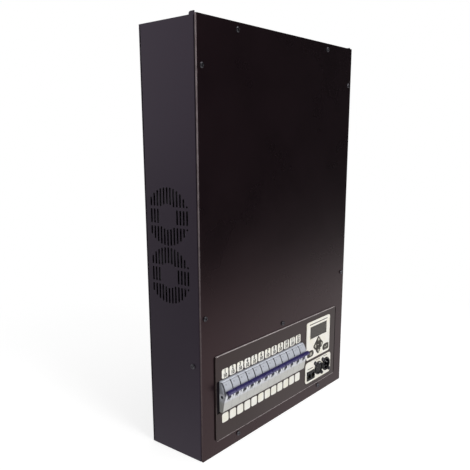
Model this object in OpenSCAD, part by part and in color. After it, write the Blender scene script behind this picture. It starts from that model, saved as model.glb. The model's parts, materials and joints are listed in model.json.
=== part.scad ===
// Wall-mounted dimmer pack: a folded steel case with a row of twelve breakers, a display with six
// keys, control sockets and two side fans.
// +Z is up, the front faces -Y, and the origin is the middle of the case's underside.
// A depth is counted back from the cover's front face, so what stands proud of it is negative.

/* [Case] */
// Width of the case and its front cover
body_w = 393; // [386:1:430]
// Height of the front cover
body_h = 600; // [590:1:660]
// Depth from the cover's front face to the wall face
body_d = 102; // [102:1:125]
// Thickness of the front cover
cover_t = 2.5; // [2:0.5:4]
// Thickness of the folded sheet of the other panels
sheet_t = 1.5; // [1:0.1:2]
// Inside radius of the sheet's bends
bend_in = 0.5; // [0.3:0.1:1]
// Shadow gap between the cover and the side panels
cover_gap = 0.8; // [0.4:0.1:1.4]
// Width of the side panels' front flanges
front_flange = 18.5; // [16:0.5:21]
// Width of the side panels' rear flanges
rear_flange = 12; // [9:0.5:14]
// Height of the turned edges of the top and bottom panels
end_flange = 20; // [17:0.5:22]
// How far the side panels stop short of the cover's top edge
side_drop = 1.4; // [0.5:0.1:3]
// Height of the ear above a side panel's top edge
ear_h = 3.9; // [2:0.1:6]
// Length of the ear from front to back
ear_l = 8.7; // [7:0.1:12]
// Radius of the wall fixing holes
wall_hole_r = 4; // [3:0.5:5]
// Distance between the wall fixing holes from side to side
wall_hole_w = 320; // [310:5:330]
// Distance between the wall fixing holes from bottom to top
wall_hole_h = 500; // [490:5:510]
// Height of the lower wall fixing holes
wall_hole_z = 50; // [45:1:54]

/* [Case screws] */
// Radius of a screw's shank
screw_r = 2; // [1.5:0.1:2.2]
// Radius of a screw's pan head
head_r = 3.7; // [3.2:0.1:4.5]
// Height of a screw's pan head
head_h = 2.2; // [1.6:0.1:3]
// Distance of the side pairs from the cover's side edges
screw_in = 8.8; // [7:0.1:10]
// Distance of the top and bottom pairs from the middle
pair_x = 116; // [100:1:130]
// Distance of the top pair below the cover's top edge
pair_top = 9.4; // [8:0.1:12]
// Height of the bottom pair
pair_bottom = 13.2; // [9:0.1:14]
// Height of the lower screws at the cover's sides
side_pair_low = 212; // [190:1:240]
// Height of the upper screws at the cover's sides
side_pair_high = 540; // [500:1:560]
// Height of the screw in the middle of the cover
middle_screw_z = 159.6; // [157:0.1:164]
// Depth of the screw in each side panel
flank_screw_d = 16; // [12:0.5:20]
// Height of the screw in each side panel
flank_screw_z = 142; // [136:1:146]

/* [Fans and grilles] */
// Side of the square fans
fan_size = 80; // [78:1:80]
// Thickness of the fans
fan_t = 25; // [20:1:25]
// Height of the upper fan's axis as a share of the cover's height
fan_share = 0.58; // [0.57:0.002:0.59]
// Distance between the two fans' axes
fan_pitch = 82; // [81:1:90]
// Radius of the bore in a fan's frame
fan_bore_r = 38.4; // [37:0.1:38.6]
// Distance between a fan frame's corner holes
fan_hole_pitch = 71.5; // [70:0.5:71.5]
// Running clearance round the blades
blade_gap = 0.9; // [0.5:0.1:1.5]
// Number of blades on a rotor
blade_n = 7; // [5:1:9]
// Pitch of the blades, in degrees
blade_pitch = 38; // [30:1:45]
// Radius of a grille's round field of slots
grille_r = 40.2; // [39:0.1:41]
// Radius of the plain middle of a grille
grille_hub_r = 17.4; // [16:0.1:18]
// Distance between the slots
slot_pitch = 6.15; // [6:0.05:6.3]
// Width of a slot
slot_w = 3.2; // [2.6:0.1:3.6]
// Height of the middle row of slots
slot_row_h = 20.2; // [18:0.1:22]
// Height of the webs between the rows of slots
slot_web_h = 3.6; // [3:0.1:4.5]

/* [Fascia] */
// Width of the raised fascia
fascia_w = 339; // [334:1:350]
// Height of the raised fascia
fascia_h = 130; // [128:1:133]
// Height of the fascia's lower edge
fascia_z = 21.2; // [19:0.1:22]
// Thickness of the fascia
fascia_t = 2; // [1.5:0.1:3]
// Corner radius of the fascia
fascia_r = 4; // [2:0.5:6]
// Width of a label window
label_w = 14.5; // [13:0.1:16]
// Height of a label window
label_h = 14.3; // [12:0.1:14.6]
// Corner radius of a label window
label_r = 2.8; // [1:0.1:4]
// Thickness of a label
label_t = 0.3; // [0.2:0.05:0.5]
// Distance from label to label
label_pitch = 17.5; // [17.2:0.1:17.8]
// Place of the first label from side to side
label_x = -149; // [-151:0.5:-147]
// Height of the upper labels' middle
label_high = 121.7; // [121.4:0.1:124]
// Height of the lower labels' middle
label_low = 53; // [50:0.1:55]

/* [Breakers] */
// Left end of the row of breakers
row_x = -160.3; // [-161:0.1:-159.5]
// Distance from breaker to breaker
brk_pitch = 18; // [17.8:0.05:18.1]
// Gap between neighbouring breakers
brk_gap = 0.3; // [0.2:0.05:0.5]
// Height of a breaker's middle
brk_z = 88.2; // [87.8:0.1:88.6]
// Height of the front part that shows in the opening
brk_front_h = 47.2; // [46:0.1:47.6]
// How far that front part stands out from the cover
brk_front_p = 4.8; // [4:0.1:5.4]
// How far the nose stands out from the cover
nose_p = 12.2; // [11.8:0.1:12.4]
// Radius of the nose's upper curve
nose_r = 30.8; // [28:0.1:34]
// How much narrower a nose's rounded cap is than its body
nose_in = 1.3; // [0.8:0.1:2]
// Depth of the grooves between the rounded caps
groove_deep = 3.5; // [2:0.1:4]
// Height of a breaker's body behind the cover
brk_body_h = 81; // [78:1:83]
// Depth of a breaker's back
brk_back = 52; // [48:1:56]
// Gap between the row and the right end of its opening
row_gap = 1.5; // [0.8:0.1:2]
// Gap below and above the breakers in the opening
row_gap_z = 1.5; // [0.8:0.1:1.8]
// Width of the half-width blank that fills the left end of the opening
blank_w = 6.8; // [5:0.1:7]
// How far the blank's front stands out from the cover
blank_p = 0.9; // [0.5:0.1:1.5]

/* [Toggles] */
// How far the toggle's pivot stands out from the cover
pivot_p = 5.3; // [5:0.1:5.5]
// Height of the toggle's pivot above the breaker's middle
pivot_up = 0.6; // [0:0.1:1.2]
// Radius of the toggle's drum
drum_r = 6.9; // [6:0.1:7]
// Clearance round the drum and its neck
drum_gap = 0.4; // [0.3:0.05:0.5]
// Width of the drum and neck
neck_w = 5.3; // [4.6:0.1:6.6]
// Thickness of the neck
neck_t = 4; // [3:0.1:4.4]
// Radius of the toggle's trunnions
trunnion_r = 1.6; // [1.2:0.05:2]
// Depth of a trunnion's end in the breaker's side
trunnion_in = 2.8; // [1:0.1:3.4]
// Running clearance of the trunnions
trunnion_gap = 0.05; // [0.03:0.01:0.08]
// Distance from the pivot to the grip's inner face
grip_from = 11.6; // [11.4:0.1:12]
// Depth of the grip, outwards from the pivot
grip_l = 3.8; // [3:0.1:4.5]
// Thickness of the grip
grip_t = 6.6; // [4.6:0.1:6.8]
// Gap between neighbouring grips
grip_gap = 0.8; // [0.6:0.1:1.4]
// Angle of a toggle that is on, above the horizontal
toggle_angle = 38; // [34:1:39]
// Depth of the round recess in a nose's sides
flank_recess = 0.4; // [0.2:0.1:0.6]

/* [Display and keys] */
// Place of the display plate's middle from side to side
display_x = 108.8; // [108:0.1:110]
// Height of the display plate's middle
display_z = 107.6; // [107.2:0.1:108]
// Width of the display plate
display_w = 78; // [76:0.5:80]
// Height of the display plate
display_h = 68.4; // [67.6:0.2:69]
// Thickness of the display and socket plates
plate_t = 1; // [0.8:0.1:1.5]
// Corner radius of the display plate
display_r = 4.5; // [3:0.5:6]
// Width of the display window
window_w = 55; // [50:0.5:56]
// Height of the display window
window_h = 22; // [20:0.2:22.2]
// Height of the window's middle above the plate's middle
window_up = 13.5; // [13.4:0.1:14]
// Thickness of the window
window_t = 0.9; // [0.5:0.1:0.9]
// Height of the diamond of keys below the plate's middle
pad_down = 14.2; // [14:0.1:14.6]
// Distance of each key of the diamond from its middle
pad_r = 8.6; // [8.4:0.1:8.8]
// Side of a diamond key
pad_key = 10.2; // [9.4:0.1:10.3]
// Distance of the two end keys from the middle
end_key_x = 25.6; // [25:0.1:26.4]
// Height of the end keys below the plate's middle
end_key_down = 24.2; // [23.6:0.1:24.6]
// Width of an end key
end_key_w = 19; // [17:0.1:19.4]
// Height of an end key
end_key_h = 10; // [9:0.1:10.4]
// How far the keys stand out from the plate
key_up_p = 0.9; // [0.9:0.1:1.5]
// Clearance round a key
key_gap = 0.3; // [0.2:0.05:0.35]
// Travel of a key
key_travel = 0.7; // [0.4:0.1:0.8]
// How much wider than a key its retaining lip is, each side
key_lip = 0.6; // [0.5:0.05:0.65]

/* [Sockets] */
// Width of the socket plate
socket_w = 85.4; // [84:0.2:86]
// Height of the socket plate
socket_h = 38.4; // [37.6:0.2:38.8]
// Place of the socket plate's middle from side to side
socket_x = 111; // [110.5:0.1:111.5]
// Height of the socket plate's middle
socket_z = 49.3; // [49:0.1:49.5]
// Corner radius of the socket plate
socket_r = 6; // [4:0.5:7]
// Width of the double jack
jack_w = 24.9; // [24:0.1:25.4]
// Height of the double jack
jack_h = 16.1; // [15:0.1:17]
// Place of the jack's middle from the plate's middle
jack_x = -25.4; // [-26:0.1:-25]
// Height of the jack's middle below the plate's middle
jack_down = 6.4; // [6:0.1:7]
// Radius of a round socket's barrel
barrel_r = 11.8; // [11.5:0.1:12]
// Place of the input socket from the plate's middle
input_x = 26; // [25.8:0.1:26.2]
// Radius of the cavity in a round socket
cavity_r = 9.8; // [9.5:0.1:10]
// Radius of the insert in the through socket
insert_r = 8; // [7.6:0.1:8.2]
// Radius of the contacts
contact_r = 0.9; // [0.8:0.05:1]
// Radius of the circle that the contacts lie on
contact_circle_r = 5.4; // [5:0.1:5.8]
// Travel of the through socket's latch
latch_travel = 1.2; // [0.8:0.1:1.5]

/* [Inside] */
// Height of the heat sink
sink_h = 162; // [150:1:166]
// Thickness of the heat sink's base
sink_base_t = 6; // [5:0.5:8]
// Depth of the heat sink's front face
sink_front = 60; // [58:1:62]
// Thickness of a fin
fin_t = 2.2; // [1.6:0.1:3]
// Number of fins
fin_n = 15; // [11:1:17]
// Gap between neighbouring chokes
choke_gap = 6; // [5:0.5:12]
// Thickness of a choke
choke_t = 26; // [22:1:30]
// Width of a power module
power_w = 44; // [38:1:46]
// Height of a power module
power_h = 58; // [50:1:62]
// Number of poles in the row of output terminals
output_poles = 24; // [20:1:26]
// Height of the output terminals
output_h = 36; // [30:1:40]
// Distance of the output terminals below the side panels' top
output_drop = 62; // [60:1:70]
// Depth of the output terminals
output_deep = 32; // [28:1:36]
// Pitch of the supply terminals
supply_pitch = 15; // [13:0.5:16]
// Height of the supply terminals
supply_h = 38; // [34:1:40]
// Depth of the supply terminals
supply_deep = 42; // [38:1:46]
// Width of the control transformer's core
core_w = 50; // [44:1:54]
// Height of the control transformer's core
core_h = 42; // [38:1:44]
// Depth of the control transformer
core_deep = 36; // [30:1:38]

/* [Hidden] */
$fn = 48;
// Small overrun of a cutting tool past a face
over = 1;
channels = 12;
side_in = body_w / 2 - sheet_t;
side_top = body_h - side_drop;
side_front = cover_t + cover_gap;
flange_in = side_front + sheet_t;
rear_in = body_d - sheet_t;
rear_flange_in = rear_in - sheet_t;
bend_r = sheet_t + bend_in;
ear_r = 3;
flange_clear = 0.5;
thread_gap = 0.05;
cover_screw_at = [
    for (s = [-1, 1]) each [
        [s * pair_x, body_h - pair_top],
        [s * pair_x, pair_bottom],
        [s * (body_w / 2 - screw_in), side_pair_low],
        [s * (body_w / 2 - screw_in), side_pair_high]
    ],
    [0, middle_screw_z]
];
screw_end = flange_in + sheet_t + 4;
wall_holes = [
    for (s = [-1, 1], up = [0, 1]) [s * wall_hole_w / 2, wall_hole_z + up * wall_hole_h]
];

fan_d = rear_flange_in - bend_in - fan_size / 2;
fan_z = fan_share * body_h;
fan_heights = [fan_z, fan_z - fan_pitch];
fan_x = -side_in;
fan_flange_t = 3.5;
fan_wall_r = fan_size / 2 - 0.1;
fan_corner_r = 4;
fan_screw_r = 2.15;
motor_r = 15.5;
motor_t = 3.5;
strut_w = 4;
shaft_r = 1.5;
shaft_gap = 0.05;
bearing_r = 5;
bearing_l = 9;
rotor_front = 2.5;
rotor_wall = 2;
hub_l = 15;
blade_l = 14;
blade_t = 1.3;
blade_bow_r = 34;

row_w = channels * brk_pitch;
row_end = row_x + row_w;
brk_w = brk_pitch - brk_gap;
brk_low = brk_z - brk_front_h / 2;
brk_high = brk_z + brk_front_h / 2;
pivot_z = brk_z + pivot_up;
slot_angle = toggle_angle + 18;
slot_reach = 24;
trunnion_hole_r = trunnion_r + trunnion_gap;
flank_recess_r = 6.5;
brk_shoulder = cover_t + 2.5;
cover_margin = 0.5;
blank_gap = 0.2;
blank_over = 2;
rail_w = 35;
rail_t = 1;
rail_h = 7.5;
rail_crown_w = 27;
rail_gap = 0.4;
rail_sink = 3;
rail_front = brk_back - rail_sink;
rail_back = rail_front + rail_h;
rail_over = 6;
bracket_w = 24;
bracket_h = 30;
bracket_t = 2;
bracket_foot = 8;

fascia_cz = fascia_z + fascia_h / 2;
front_face = -fascia_t - plate_t;
pad_z = display_z - pad_down;
window_z = display_z + window_up;
end_key_z = display_z - end_key_down;
window_ledge = 2;
window_gap = 0.1;
pad_corner_r = 1.4;
end_corner_r = 1.6;
lip_t = 1.2;
lip_gap = 0.05;
stem_r = 1.6;
board_front = 9.5;
board_t = 1.6;
board_w = 72;
board_h = 67;
switch_w = 6;
switch_t = 3.5;
plunger_r = 1.7;
plunger_h = 0.7;
stem_end = board_front - switch_t - plunger_h - key_travel - 0.2;
stud_r = 2;
stud_at = [
    for (s = [-1, 1]) each [[display_x + s * 33.5, display_z + 29.5], [display_x + s * 12, display_z - 30.8]]
];
display_hole_w = 77;
display_hole_h = 72;
glass_w = 50;
glass_h = 18.6;
module_w = 58;
module_h = 26;
module_front = 2.2;

input_at = [socket_x + input_x, socket_z];
thru_at = [socket_x, socket_z];
barrel_gap = 0.3;
flange_t = 1.2;
rim_p = 1;
barrel_end = 17;
cavity_end = 9;
ear_at = [11.5, -12];
ear_end_r = 3.4;
socket_screw_r = 1.4;
socket_head_r = 2.7;
socket_head_h = 1.3;
latch_w = 4;
latch_low = 9.2;
latch_high = 11.1;
latch_gap = 0.15;
latch_p = 1.3;
latch_l = 7;
jack_p = 1.5;
jack_end = 12;
jack_hole_w = 9.8;
jack_hole_h = 6.9;
jack_hole_d = 11;
jack_key_w = 4;
jack_key_h = 1.9;

rail_cross_h = 22;
rail_cross_leg = 12;
sink_x0 = fan_x + fan_t + 10;
sink_x1 = side_in - 45;
sink_z = fan_z - fan_pitch / 2 - sink_h / 2;
sink_top = sink_z + sink_h;
module_gap = 6;
module_pitch = (sink_x1 - sink_x0 - module_gap) / 6;
block_w = min(power_w, module_pitch - module_gap);
power_t = 22;
power_row = 0.48 * sink_h;
output_z = side_top - output_drop;
output_pitch = 0.028 * body_w;
choke_space = output_z - sink_top;
choke_row = 0.417 * choke_space;
choke_z = sink_top + 0.283 * choke_space;
choke_pitch = 0.153 * body_w;
choke_r = (min(choke_row, choke_pitch) - choke_gap) / 2;
choke_hole_r = 0.4 * choke_r;
choke_edge_r = 0.36 * (choke_r - choke_hole_r);
washer_r = 0.48 * choke_r;
washer_t = 1.5;
bolt_r = 0.11 * choke_r;
nut_r = 0.2 * choke_r;
nut_t = 5;
driver_w = 0.7125 * body_w;
driver_h = 48;
driver_z = sink_z - 35;
driver_front = 84;
driver_t = 1.6;
post_r = 4;
bar_w = 0.305 * body_w;
bar_h = 10;
bar_t = 8;
bar_x = -0.2 * body_w;
bar_front = 80;
neutral_z = 30;
earth_z = 46;
bracket_in = 24;
bracket_end = row_end - bracket_in + bracket_w / 2 + bracket_foot;
transformer_at = [(bracket_end + side_in) / 2, 96];
transformer_foot = 12;
winding_over = 6;
supply_x = side_in - 129;
supply_z = 22;
ribbon_x = 118;
ribbon_w = 20;
ribbon_t = 1;
plug_w = 22;
plug_h = 8;

// Rounded rectangle about its middle
module rounded(w, h, r) {
    square([w, h - 2 * r], center = true);
    square([w - 2 * r, h], center = true);
    for (sx = [-1, 1], sy = [-1, 1])
        translate([sx * (w / 2 - r), sy * (h / 2 - r)]) circle(r);
}

// A shape seen from the front, solid between two depths
module upright(d0, d1) {
    translate([0, d1 - body_d / 2, 0]) rotate([90, 0, 0]) linear_extrude(d1 - d0) children();
}

// A shape seen from the side, drawn in depth and height, solid between two places along X
module sideways(x0, x1) {
    translate([x0, -body_d / 2, 0]) rotate([90, 0, 90]) linear_extrude(x1 - x0) children();
}

// A shape seen from above, drawn in X and depth, solid between two heights
module level(z0, z1) {
    translate([0, -body_d / 2, z0]) linear_extrude(z1 - z0) children();
}

// Round bar from front to back
module rod_y(at, d0, d1, r) {
    translate([at[0], d0 - body_d / 2, at[1]]) rotate([-90, 0, 0]) cylinder(h = d1 - d0, r = r);
}

// Round bar from side to side
module rod_x(d, z, x0, x1, r) {
    translate([x0, d - body_d / 2, z]) rotate([0, 90, 0]) cylinder(h = x1 - x0, r = r);
}

// Bent sheet as an open channel: both legs start at the web and are turned the same way
module bent_channel(length, leg_a, leg_b) {
    reach = max(leg_a, leg_b);
    intersection() {
        difference() {
            translate([reach, length / 2]) rounded(2 * reach, length, bend_r);
            translate([reach, length / 2])
                rounded(2 * (reach - sheet_t), length - 2 * sheet_t, bend_in);
        }
        union() {
            square([leg_a, length / 2]);
            translate([0, length / 2]) square([leg_b, length / 2]);
        }
    }
}

// One upright slot with round ends, from one height to another
module slot(c, z0, z1) {
    r = min(slot_w, z1 - z0) / 2;
    translate([c, z0 + r]) circle(r);
    translate([c, z1 - r]) circle(r);
    if (z1 - z0 > 2 * r) translate([c - r, z0 + r]) square([2 * r, z1 - z0 - 2 * r]);
}

// Round field of slots in three rows, with a plain middle
module round_grille() {
    row_from = slot_row_h / 2 + slot_web_h;
    for (i = [-6:5]) {
        c = i * slot_pitch;
        tip = max(sqrt(grille_r * grille_r - c * c), row_from + slot_w);
        inner = abs(c) < grille_hub_r ? sqrt(grille_hub_r * grille_hub_r - c * c) : 0;
        for (s = [0, 1]) mirror([0, s]) slot(c, max(row_from, inner), tip);
        if (abs(c) > grille_hub_r) slot(c, -slot_row_h / 2, slot_row_h / 2);
    }
}

// Square field of slots in three rows
module square_grille() {
    for (i = [-6:5], row = [-1:1]) {
        middle = row * (slot_row_h + slot_web_h);
        slot(i * slot_pitch, middle - slot_row_h / 2, middle + slot_row_h / 2);
    }
}

// Side panel as it stands on the left; the slots are the children
module side_panel() {
    difference() {
        union() {
            translate([-body_w / 2, 0]) level(0, side_top) translate([0, side_front])
                bent_channel(rear_in - side_front, front_flange, rear_flange);
            sideways(-body_w / 2, -side_in) translate([side_front, side_top - over]) {
                square([ear_l - ear_r, ear_h + over]);
                square([ear_l, ear_h + over - ear_r]);
                translate([ear_l - ear_r, ear_h + over - ear_r]) circle(ear_r);
            }
        }
        for (z = fan_heights)
            sideways(-body_w / 2 - over, -side_in + over) translate([fan_d, z]) children();
        for (z = [side_pair_low, side_pair_high])
            rod_y([screw_in - body_w / 2, z], side_front - over, flange_in + over, screw_r + thread_gap);
        rod_x(flank_screw_d, flank_screw_z, -body_w / 2 - over, -side_in + over, screw_r + thread_gap);
    }
}

module left_side_panel() {
    color([0.21, 0.2, 0.22]) side_panel() round_grille();
}

module right_side_panel() {
    color([0.21, 0.2, 0.22]) mirror([1, 0, 0]) side_panel() square_grille();
}

// Scored ring of a knock-out that can be struck out for a cable gland
module knock_out(x, d, r) {
    difference() {
        translate([x, d]) circle(r);
        translate([x, d]) circle(r - 0.8);
    }
}

// Bottom panel as it lies at the foot of the case; the scored rings are the children
module end_panel() {
    flange_x = body_w / 2 - front_flange - flange_clear;
    score = 0.4;
    difference() {
        union() {
            sideways(-flange_x, flange_x) translate([rear_in, 0]) rotate(90)
                bent_channel(rear_in - side_front, end_flange, end_flange);
            for (s = [0, 1]) mirror([s, 0, 0]) level(0, sheet_t)
                translate([flange_x - over, flange_in + bend_in])
                    square([side_in - flange_x + over, rear_flange_in - flange_in - 2 * bend_in]);
        }
        level(-over, score) children();
    }
}

module bottom_panel() {
    color([0.2, 0.19, 0.21]) difference() {
        end_panel() {
            for (x = [60, 130]) knock_out(x, 60, 20);
            for (x = [-140:40:-20]) knock_out(x, 60, 10.2);
        }
        for (s = [-1, 1])
            rod_y([s * pair_x, pair_bottom], side_front - over, flange_in + over, screw_r + thread_gap);
    }
}

module top_panel() {
    color([0.2, 0.19, 0.21]) difference() {
        translate([0, 0, side_top]) mirror([0, 0, 1]) end_panel() {
            for (x = [-137.5:55:137.5], d = [36, 70]) knock_out(x, d, 10.2);
        }
        for (s = [-1, 1])
            rod_y([s * pair_x, body_h - pair_top], side_front - over, flange_in + over,
                screw_r + thread_gap);
    }
}

module rear_panel() {
    color([0.2, 0.19, 0.21]) difference() {
        upright(rear_in, body_d) translate([-body_w / 2, 0]) square([body_w, side_top]);
        for (at = wall_holes) rod_y(at, rear_in - over, body_d + over, wall_hole_r);
    }
}

// Strap behind the cover, with ends that are turned back along the side panels
module cross_rail() {
    tab_low = flank_screw_z - 9;
    color([0.55, 0.56, 0.58]) difference() {
        union() {
            sideways(bend_in - side_in, side_in - bend_in)
                translate([flange_in, middle_screw_z - rail_cross_h / 2])
                    bent_channel(rail_cross_h, rail_cross_leg, rail_cross_leg);
            for (s = [0, 1]) mirror([s, 0, 0])
                sideways(-side_in, -side_in + sheet_t)
                    translate([flange_in + bend_in, tab_low])
                        square([flank_screw_d + 3, middle_screw_z - tab_low]);
        }
        rod_y([0, middle_screw_z], flange_in - over, flange_in + sheet_t + over, screw_r + thread_gap);
        rod_x(flank_screw_d, flank_screw_z, -side_in - over, -side_in + sheet_t + over,
            screw_r + thread_gap);
        rod_x(flank_screw_d, flank_screw_z, side_in - sheet_t - over, side_in + over,
            screw_r + thread_gap);
    }
}

// Opening that the row of breakers and its blank stand in
module row_opening(grow) {
    left = blank_w + 2 * blank_gap;
    translate([row_x - left - grow, brk_low - row_gap_z - grow])
        square([row_w + left + row_gap + 2 * grow, brk_front_h + 2 * (row_gap_z + grow)]);
}

// Openings for the double jack and the barrels of the round sockets
module socket_holes(gap) {
    translate([socket_x + jack_x, socket_z - jack_down])
        square([jack_w + 2 * gap, jack_h + 2 * gap], center = true);
    for (at = [input_at, thru_at]) translate(at) circle(barrel_r + gap);
}

module front_cover() {
    color([0.17, 0.16, 0.17]) difference() {
        upright(0, cover_t) difference() {
            translate([-body_w / 2, 0]) square([body_w, body_h]);
            row_opening(cover_margin);
            translate([display_x, display_z]) rounded(display_hole_w, display_hole_h, 2);
            socket_holes(barrel_gap + 0.2);
        }
        for (at = cover_screw_at) rod_y(at, -over, cover_t + over, screw_r + 0.2);
    }
}

// Pan-head screw from the front, with its cross recess
module pan_screw(length) {
    slot_l = head_r * 1.1;
    slot_t = 0.9;
    difference() {
        union() {
            cylinder(h = length, r = screw_r);
            translate([0, 0, -head_h * 0.45]) cylinder(h = head_h * 0.45, r = head_r);
            translate([0, 0, -head_h]) cylinder(h = head_h * 0.55 + 0.01, r1 = head_r * 0.72, r2 = head_r);
        }
        for (a = [0, 90]) rotate(a) translate([-slot_l / 2, -slot_t / 2, -head_h - over])
            cube([slot_l, slot_t, over + head_h * 0.6]);
    }
}

module case_screws() {
    color([0.12, 0.12, 0.13]) {
        for (at = cover_screw_at)
            translate([at[0], -body_d / 2, at[1]]) rotate([-90, 0, 0]) pan_screw(screw_end);
        for (s = [0, 1]) mirror([s, 0, 0])
            translate([-body_w / 2, flank_screw_d - body_d / 2, flank_screw_z])
                rotate([0, 90, 0]) pan_screw(2 * sheet_t + 4);
    }
}

// Outline of a diamond key, grown by a margin
module pad_outline(dx, dz, grow) {
    side = pad_key + 2 * grow;
    translate([display_x + dx, pad_z + dz]) rotate(45) rounded(side, side, pad_corner_r + grow);
}

// Outline of an end key, round towards the middle, grown by a margin
module end_outline(s, grow) {
    w = end_key_w + 2 * grow;
    h = end_key_h + 2 * grow;
    translate([display_x + s * end_key_x, end_key_z]) mirror([s > 0 ? 0 : 1, 0]) {
        translate([(h - w) / 2, 0]) circle(h / 2);
        translate([h / 4, 0]) rounded(w - h / 2, h, end_corner_r + grow);
    }
}

pad_keys = [[0, pad_r], [0, -pad_r], [-pad_r, 0], [pad_r, 0]];

module key_holes() {
    for (k = pad_keys) pad_outline(k[0], k[1], key_gap);
    for (s = [-1, 1]) end_outline(s, key_gap);
}

module control_fascia() {
    color([0.2, 0.19, 0.19]) {
        upright(-fascia_t, 0) difference() {
            translate([0, fascia_cz]) rounded(fascia_w, fascia_h, fascia_r);
            row_opening(0);
            translate([display_x, window_z])
                square([window_w - 2 * window_ledge, window_h - 2 * window_ledge], center = true);
            key_holes();
            socket_holes(barrel_gap);
        }
        for (at = stud_at) rod_y(at, -fascia_t / 2, board_front, stud_r);
    }
}

module channel_labels(z) {
    upright(-fascia_t - label_t, -fascia_t)
        for (i = [0:channels - 1])
            translate([label_x + i * label_pitch, z]) rounded(label_w, label_h, label_r);
}

module upper_channel_labels() {
    color([0.94, 0.93, 0.85]) channel_labels(label_high);
}

module lower_channel_labels() {
    color([0.94, 0.93, 0.85]) channel_labels(label_low);
}

module display_plate() {
    color([0.94, 0.93, 0.87]) upright(front_face, -fascia_t) difference() {
        translate([display_x, display_z]) rounded(display_w, display_h, display_r);
        translate([display_x, window_z]) square([window_w, window_h], center = true);
        key_holes();
    }
}

module display_window() {
    color([0.3, 0.31, 0.28, 0.6]) upright(-fascia_t - window_t, -fascia_t)
        translate([display_x, window_z])
            square([window_w - 2 * window_gap, window_h - 2 * window_gap], center = true);
}

module display_module() {
    color([0.4, 0.42, 0.36]) {
        upright(-fascia_t + 0.2, module_front + over) translate([display_x, window_z])
            square([glass_w, glass_h - 1], center = true);
        upright(module_front, board_front) translate([display_x, window_z])
            rounded(module_w, module_h, 1);
    }
}

// A key: its cap, the lip that holds it behind the fascia, and the stem that works its switch
module key_body(at) {
    upright(front_face - key_up_p, lip_gap + lip_t / 2) children(0);
    upright(lip_gap, lip_gap + lip_t) children(1);
    rod_y(at, lip_gap, stem_end, stem_r);
}

module pad_button(k) {
    color([0.42, 0.4, 0.37]) key_body([display_x + k[0], pad_z + k[1]]) {
        pad_outline(k[0], k[1], 0);
        pad_outline(k[0], k[1], key_lip);
    }
}

module end_button(s) {
    color([0.42, 0.4, 0.37]) key_body([display_x + s * end_key_x, end_key_z]) {
        end_outline(s, 0);
        end_outline(s, key_lip);
    }
}

module key_up() { pad_button(pad_keys[0]); }
module key_down() { pad_button(pad_keys[1]); }
module key_left() { pad_button(pad_keys[2]); }
module key_right() { pad_button(pad_keys[3]); }
module key_menu() { end_button(-1); }
module key_enter() { end_button(1); }

switch_at = concat(
    [for (k = pad_keys) [display_x + k[0], pad_z + k[1]]],
    [for (s = [-1, 1]) [display_x + s * end_key_x, end_key_z]]
);

module key_switches() {
    color([0.15, 0.15, 0.16]) for (at = switch_at) {
        upright(board_front - switch_t, board_front) translate(at)
            square([switch_w, switch_w], center = true);
        rod_y(at, board_front - switch_t - plunger_h, board_front - switch_t / 2, plunger_r);
    }
}

// Board behind the display plate, with its processor and the socket of the ribbon cable
module control_board() {
    color([0.1, 0.35, 0.2]) {
        upright(board_front, board_front + board_t) translate([display_x, display_z - 1])
            rounded(board_w, board_h, 2);
        upright(board_front + board_t / 2, board_front + board_t + 3)
            translate([display_x - 14, display_z - 4]) rounded(18, 18, 1);
        upright(board_front + board_t / 2, board_front + board_t + 6)
            translate([ribbon_x, window_z + 8]) square([plug_w, plug_h], center = true);
    }
}

module socket_plate() {
    color([0.94, 0.93, 0.87]) upright(front_face, -fascia_t) difference() {
        translate([socket_x, socket_z]) rounded(socket_w, socket_h, socket_r);
        socket_holes(barrel_gap);
        for (at = [input_at, thru_at], s = [-1, 1]) translate(at + s * ear_at) circle(socket_screw_r);
    }
}

module data_jack() {
    front = front_face - jack_p;
    color([0.08, 0.08, 0.09]) translate([socket_x + jack_x, 0, socket_z - jack_down]) difference() {
        upright(front, jack_end) rounded(jack_w, jack_h, 0.8);
        for (s = [-1, 1]) {
            upright(front - over, front + jack_hole_d) translate([s * jack_w / 4, -1])
                square([jack_hole_w, jack_hole_h], center = true);
            upright(front - over, front + jack_hole_d)
                translate([s * jack_w / 4, -1 + (jack_hole_h + jack_key_h) / 2])
                    square([jack_key_w, jack_key_h + 0.2], center = true);
        }
    }
}

// Flange with two ears, rim and barrel that both round sockets share
module socket_shell() {
    ear_l = sqrt(ear_at[0] * ear_at[0] + ear_at[1] * ear_at[1]);
    difference() {
        union() {
            upright(front_face - flange_t, front_face) {
                circle(barrel_r + 0.5);
                rotate(atan2(ear_at[1], ear_at[0]))
                    square([2 * ear_l, 2 * ear_end_r - 0.6], center = true);
                for (s = [-1, 1]) translate(s * ear_at) circle(ear_end_r);
            }
            rod_y([0, 0], front_face - flange_t - rim_p, barrel_end, barrel_r);
        }
        for (s = [-1, 1])
            rod_y(s * ear_at, front_face - flange_t - over, front_face + over, socket_screw_r + 0.05);
    }
}

contact_angles = [for (k = [0:4]) -90 + 72 * (k + 0.5)];

module input_socket() {
    front = front_face - flange_t - rim_p;
    color([0.07, 0.07, 0.08]) translate([input_at[0], 0, input_at[1]]) {
        difference() {
            socket_shell();
            rod_y([0, 0], front - over, cavity_end, cavity_r);
            upright(front - over, cavity_end) translate([0, -cavity_r]) square([3, 1.6], center = true);
        }
        for (a = contact_angles)
            rod_y(contact_circle_r * [cos(a), sin(a)], front + 2.5, cavity_end + over, contact_r);
    }
}

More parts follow.
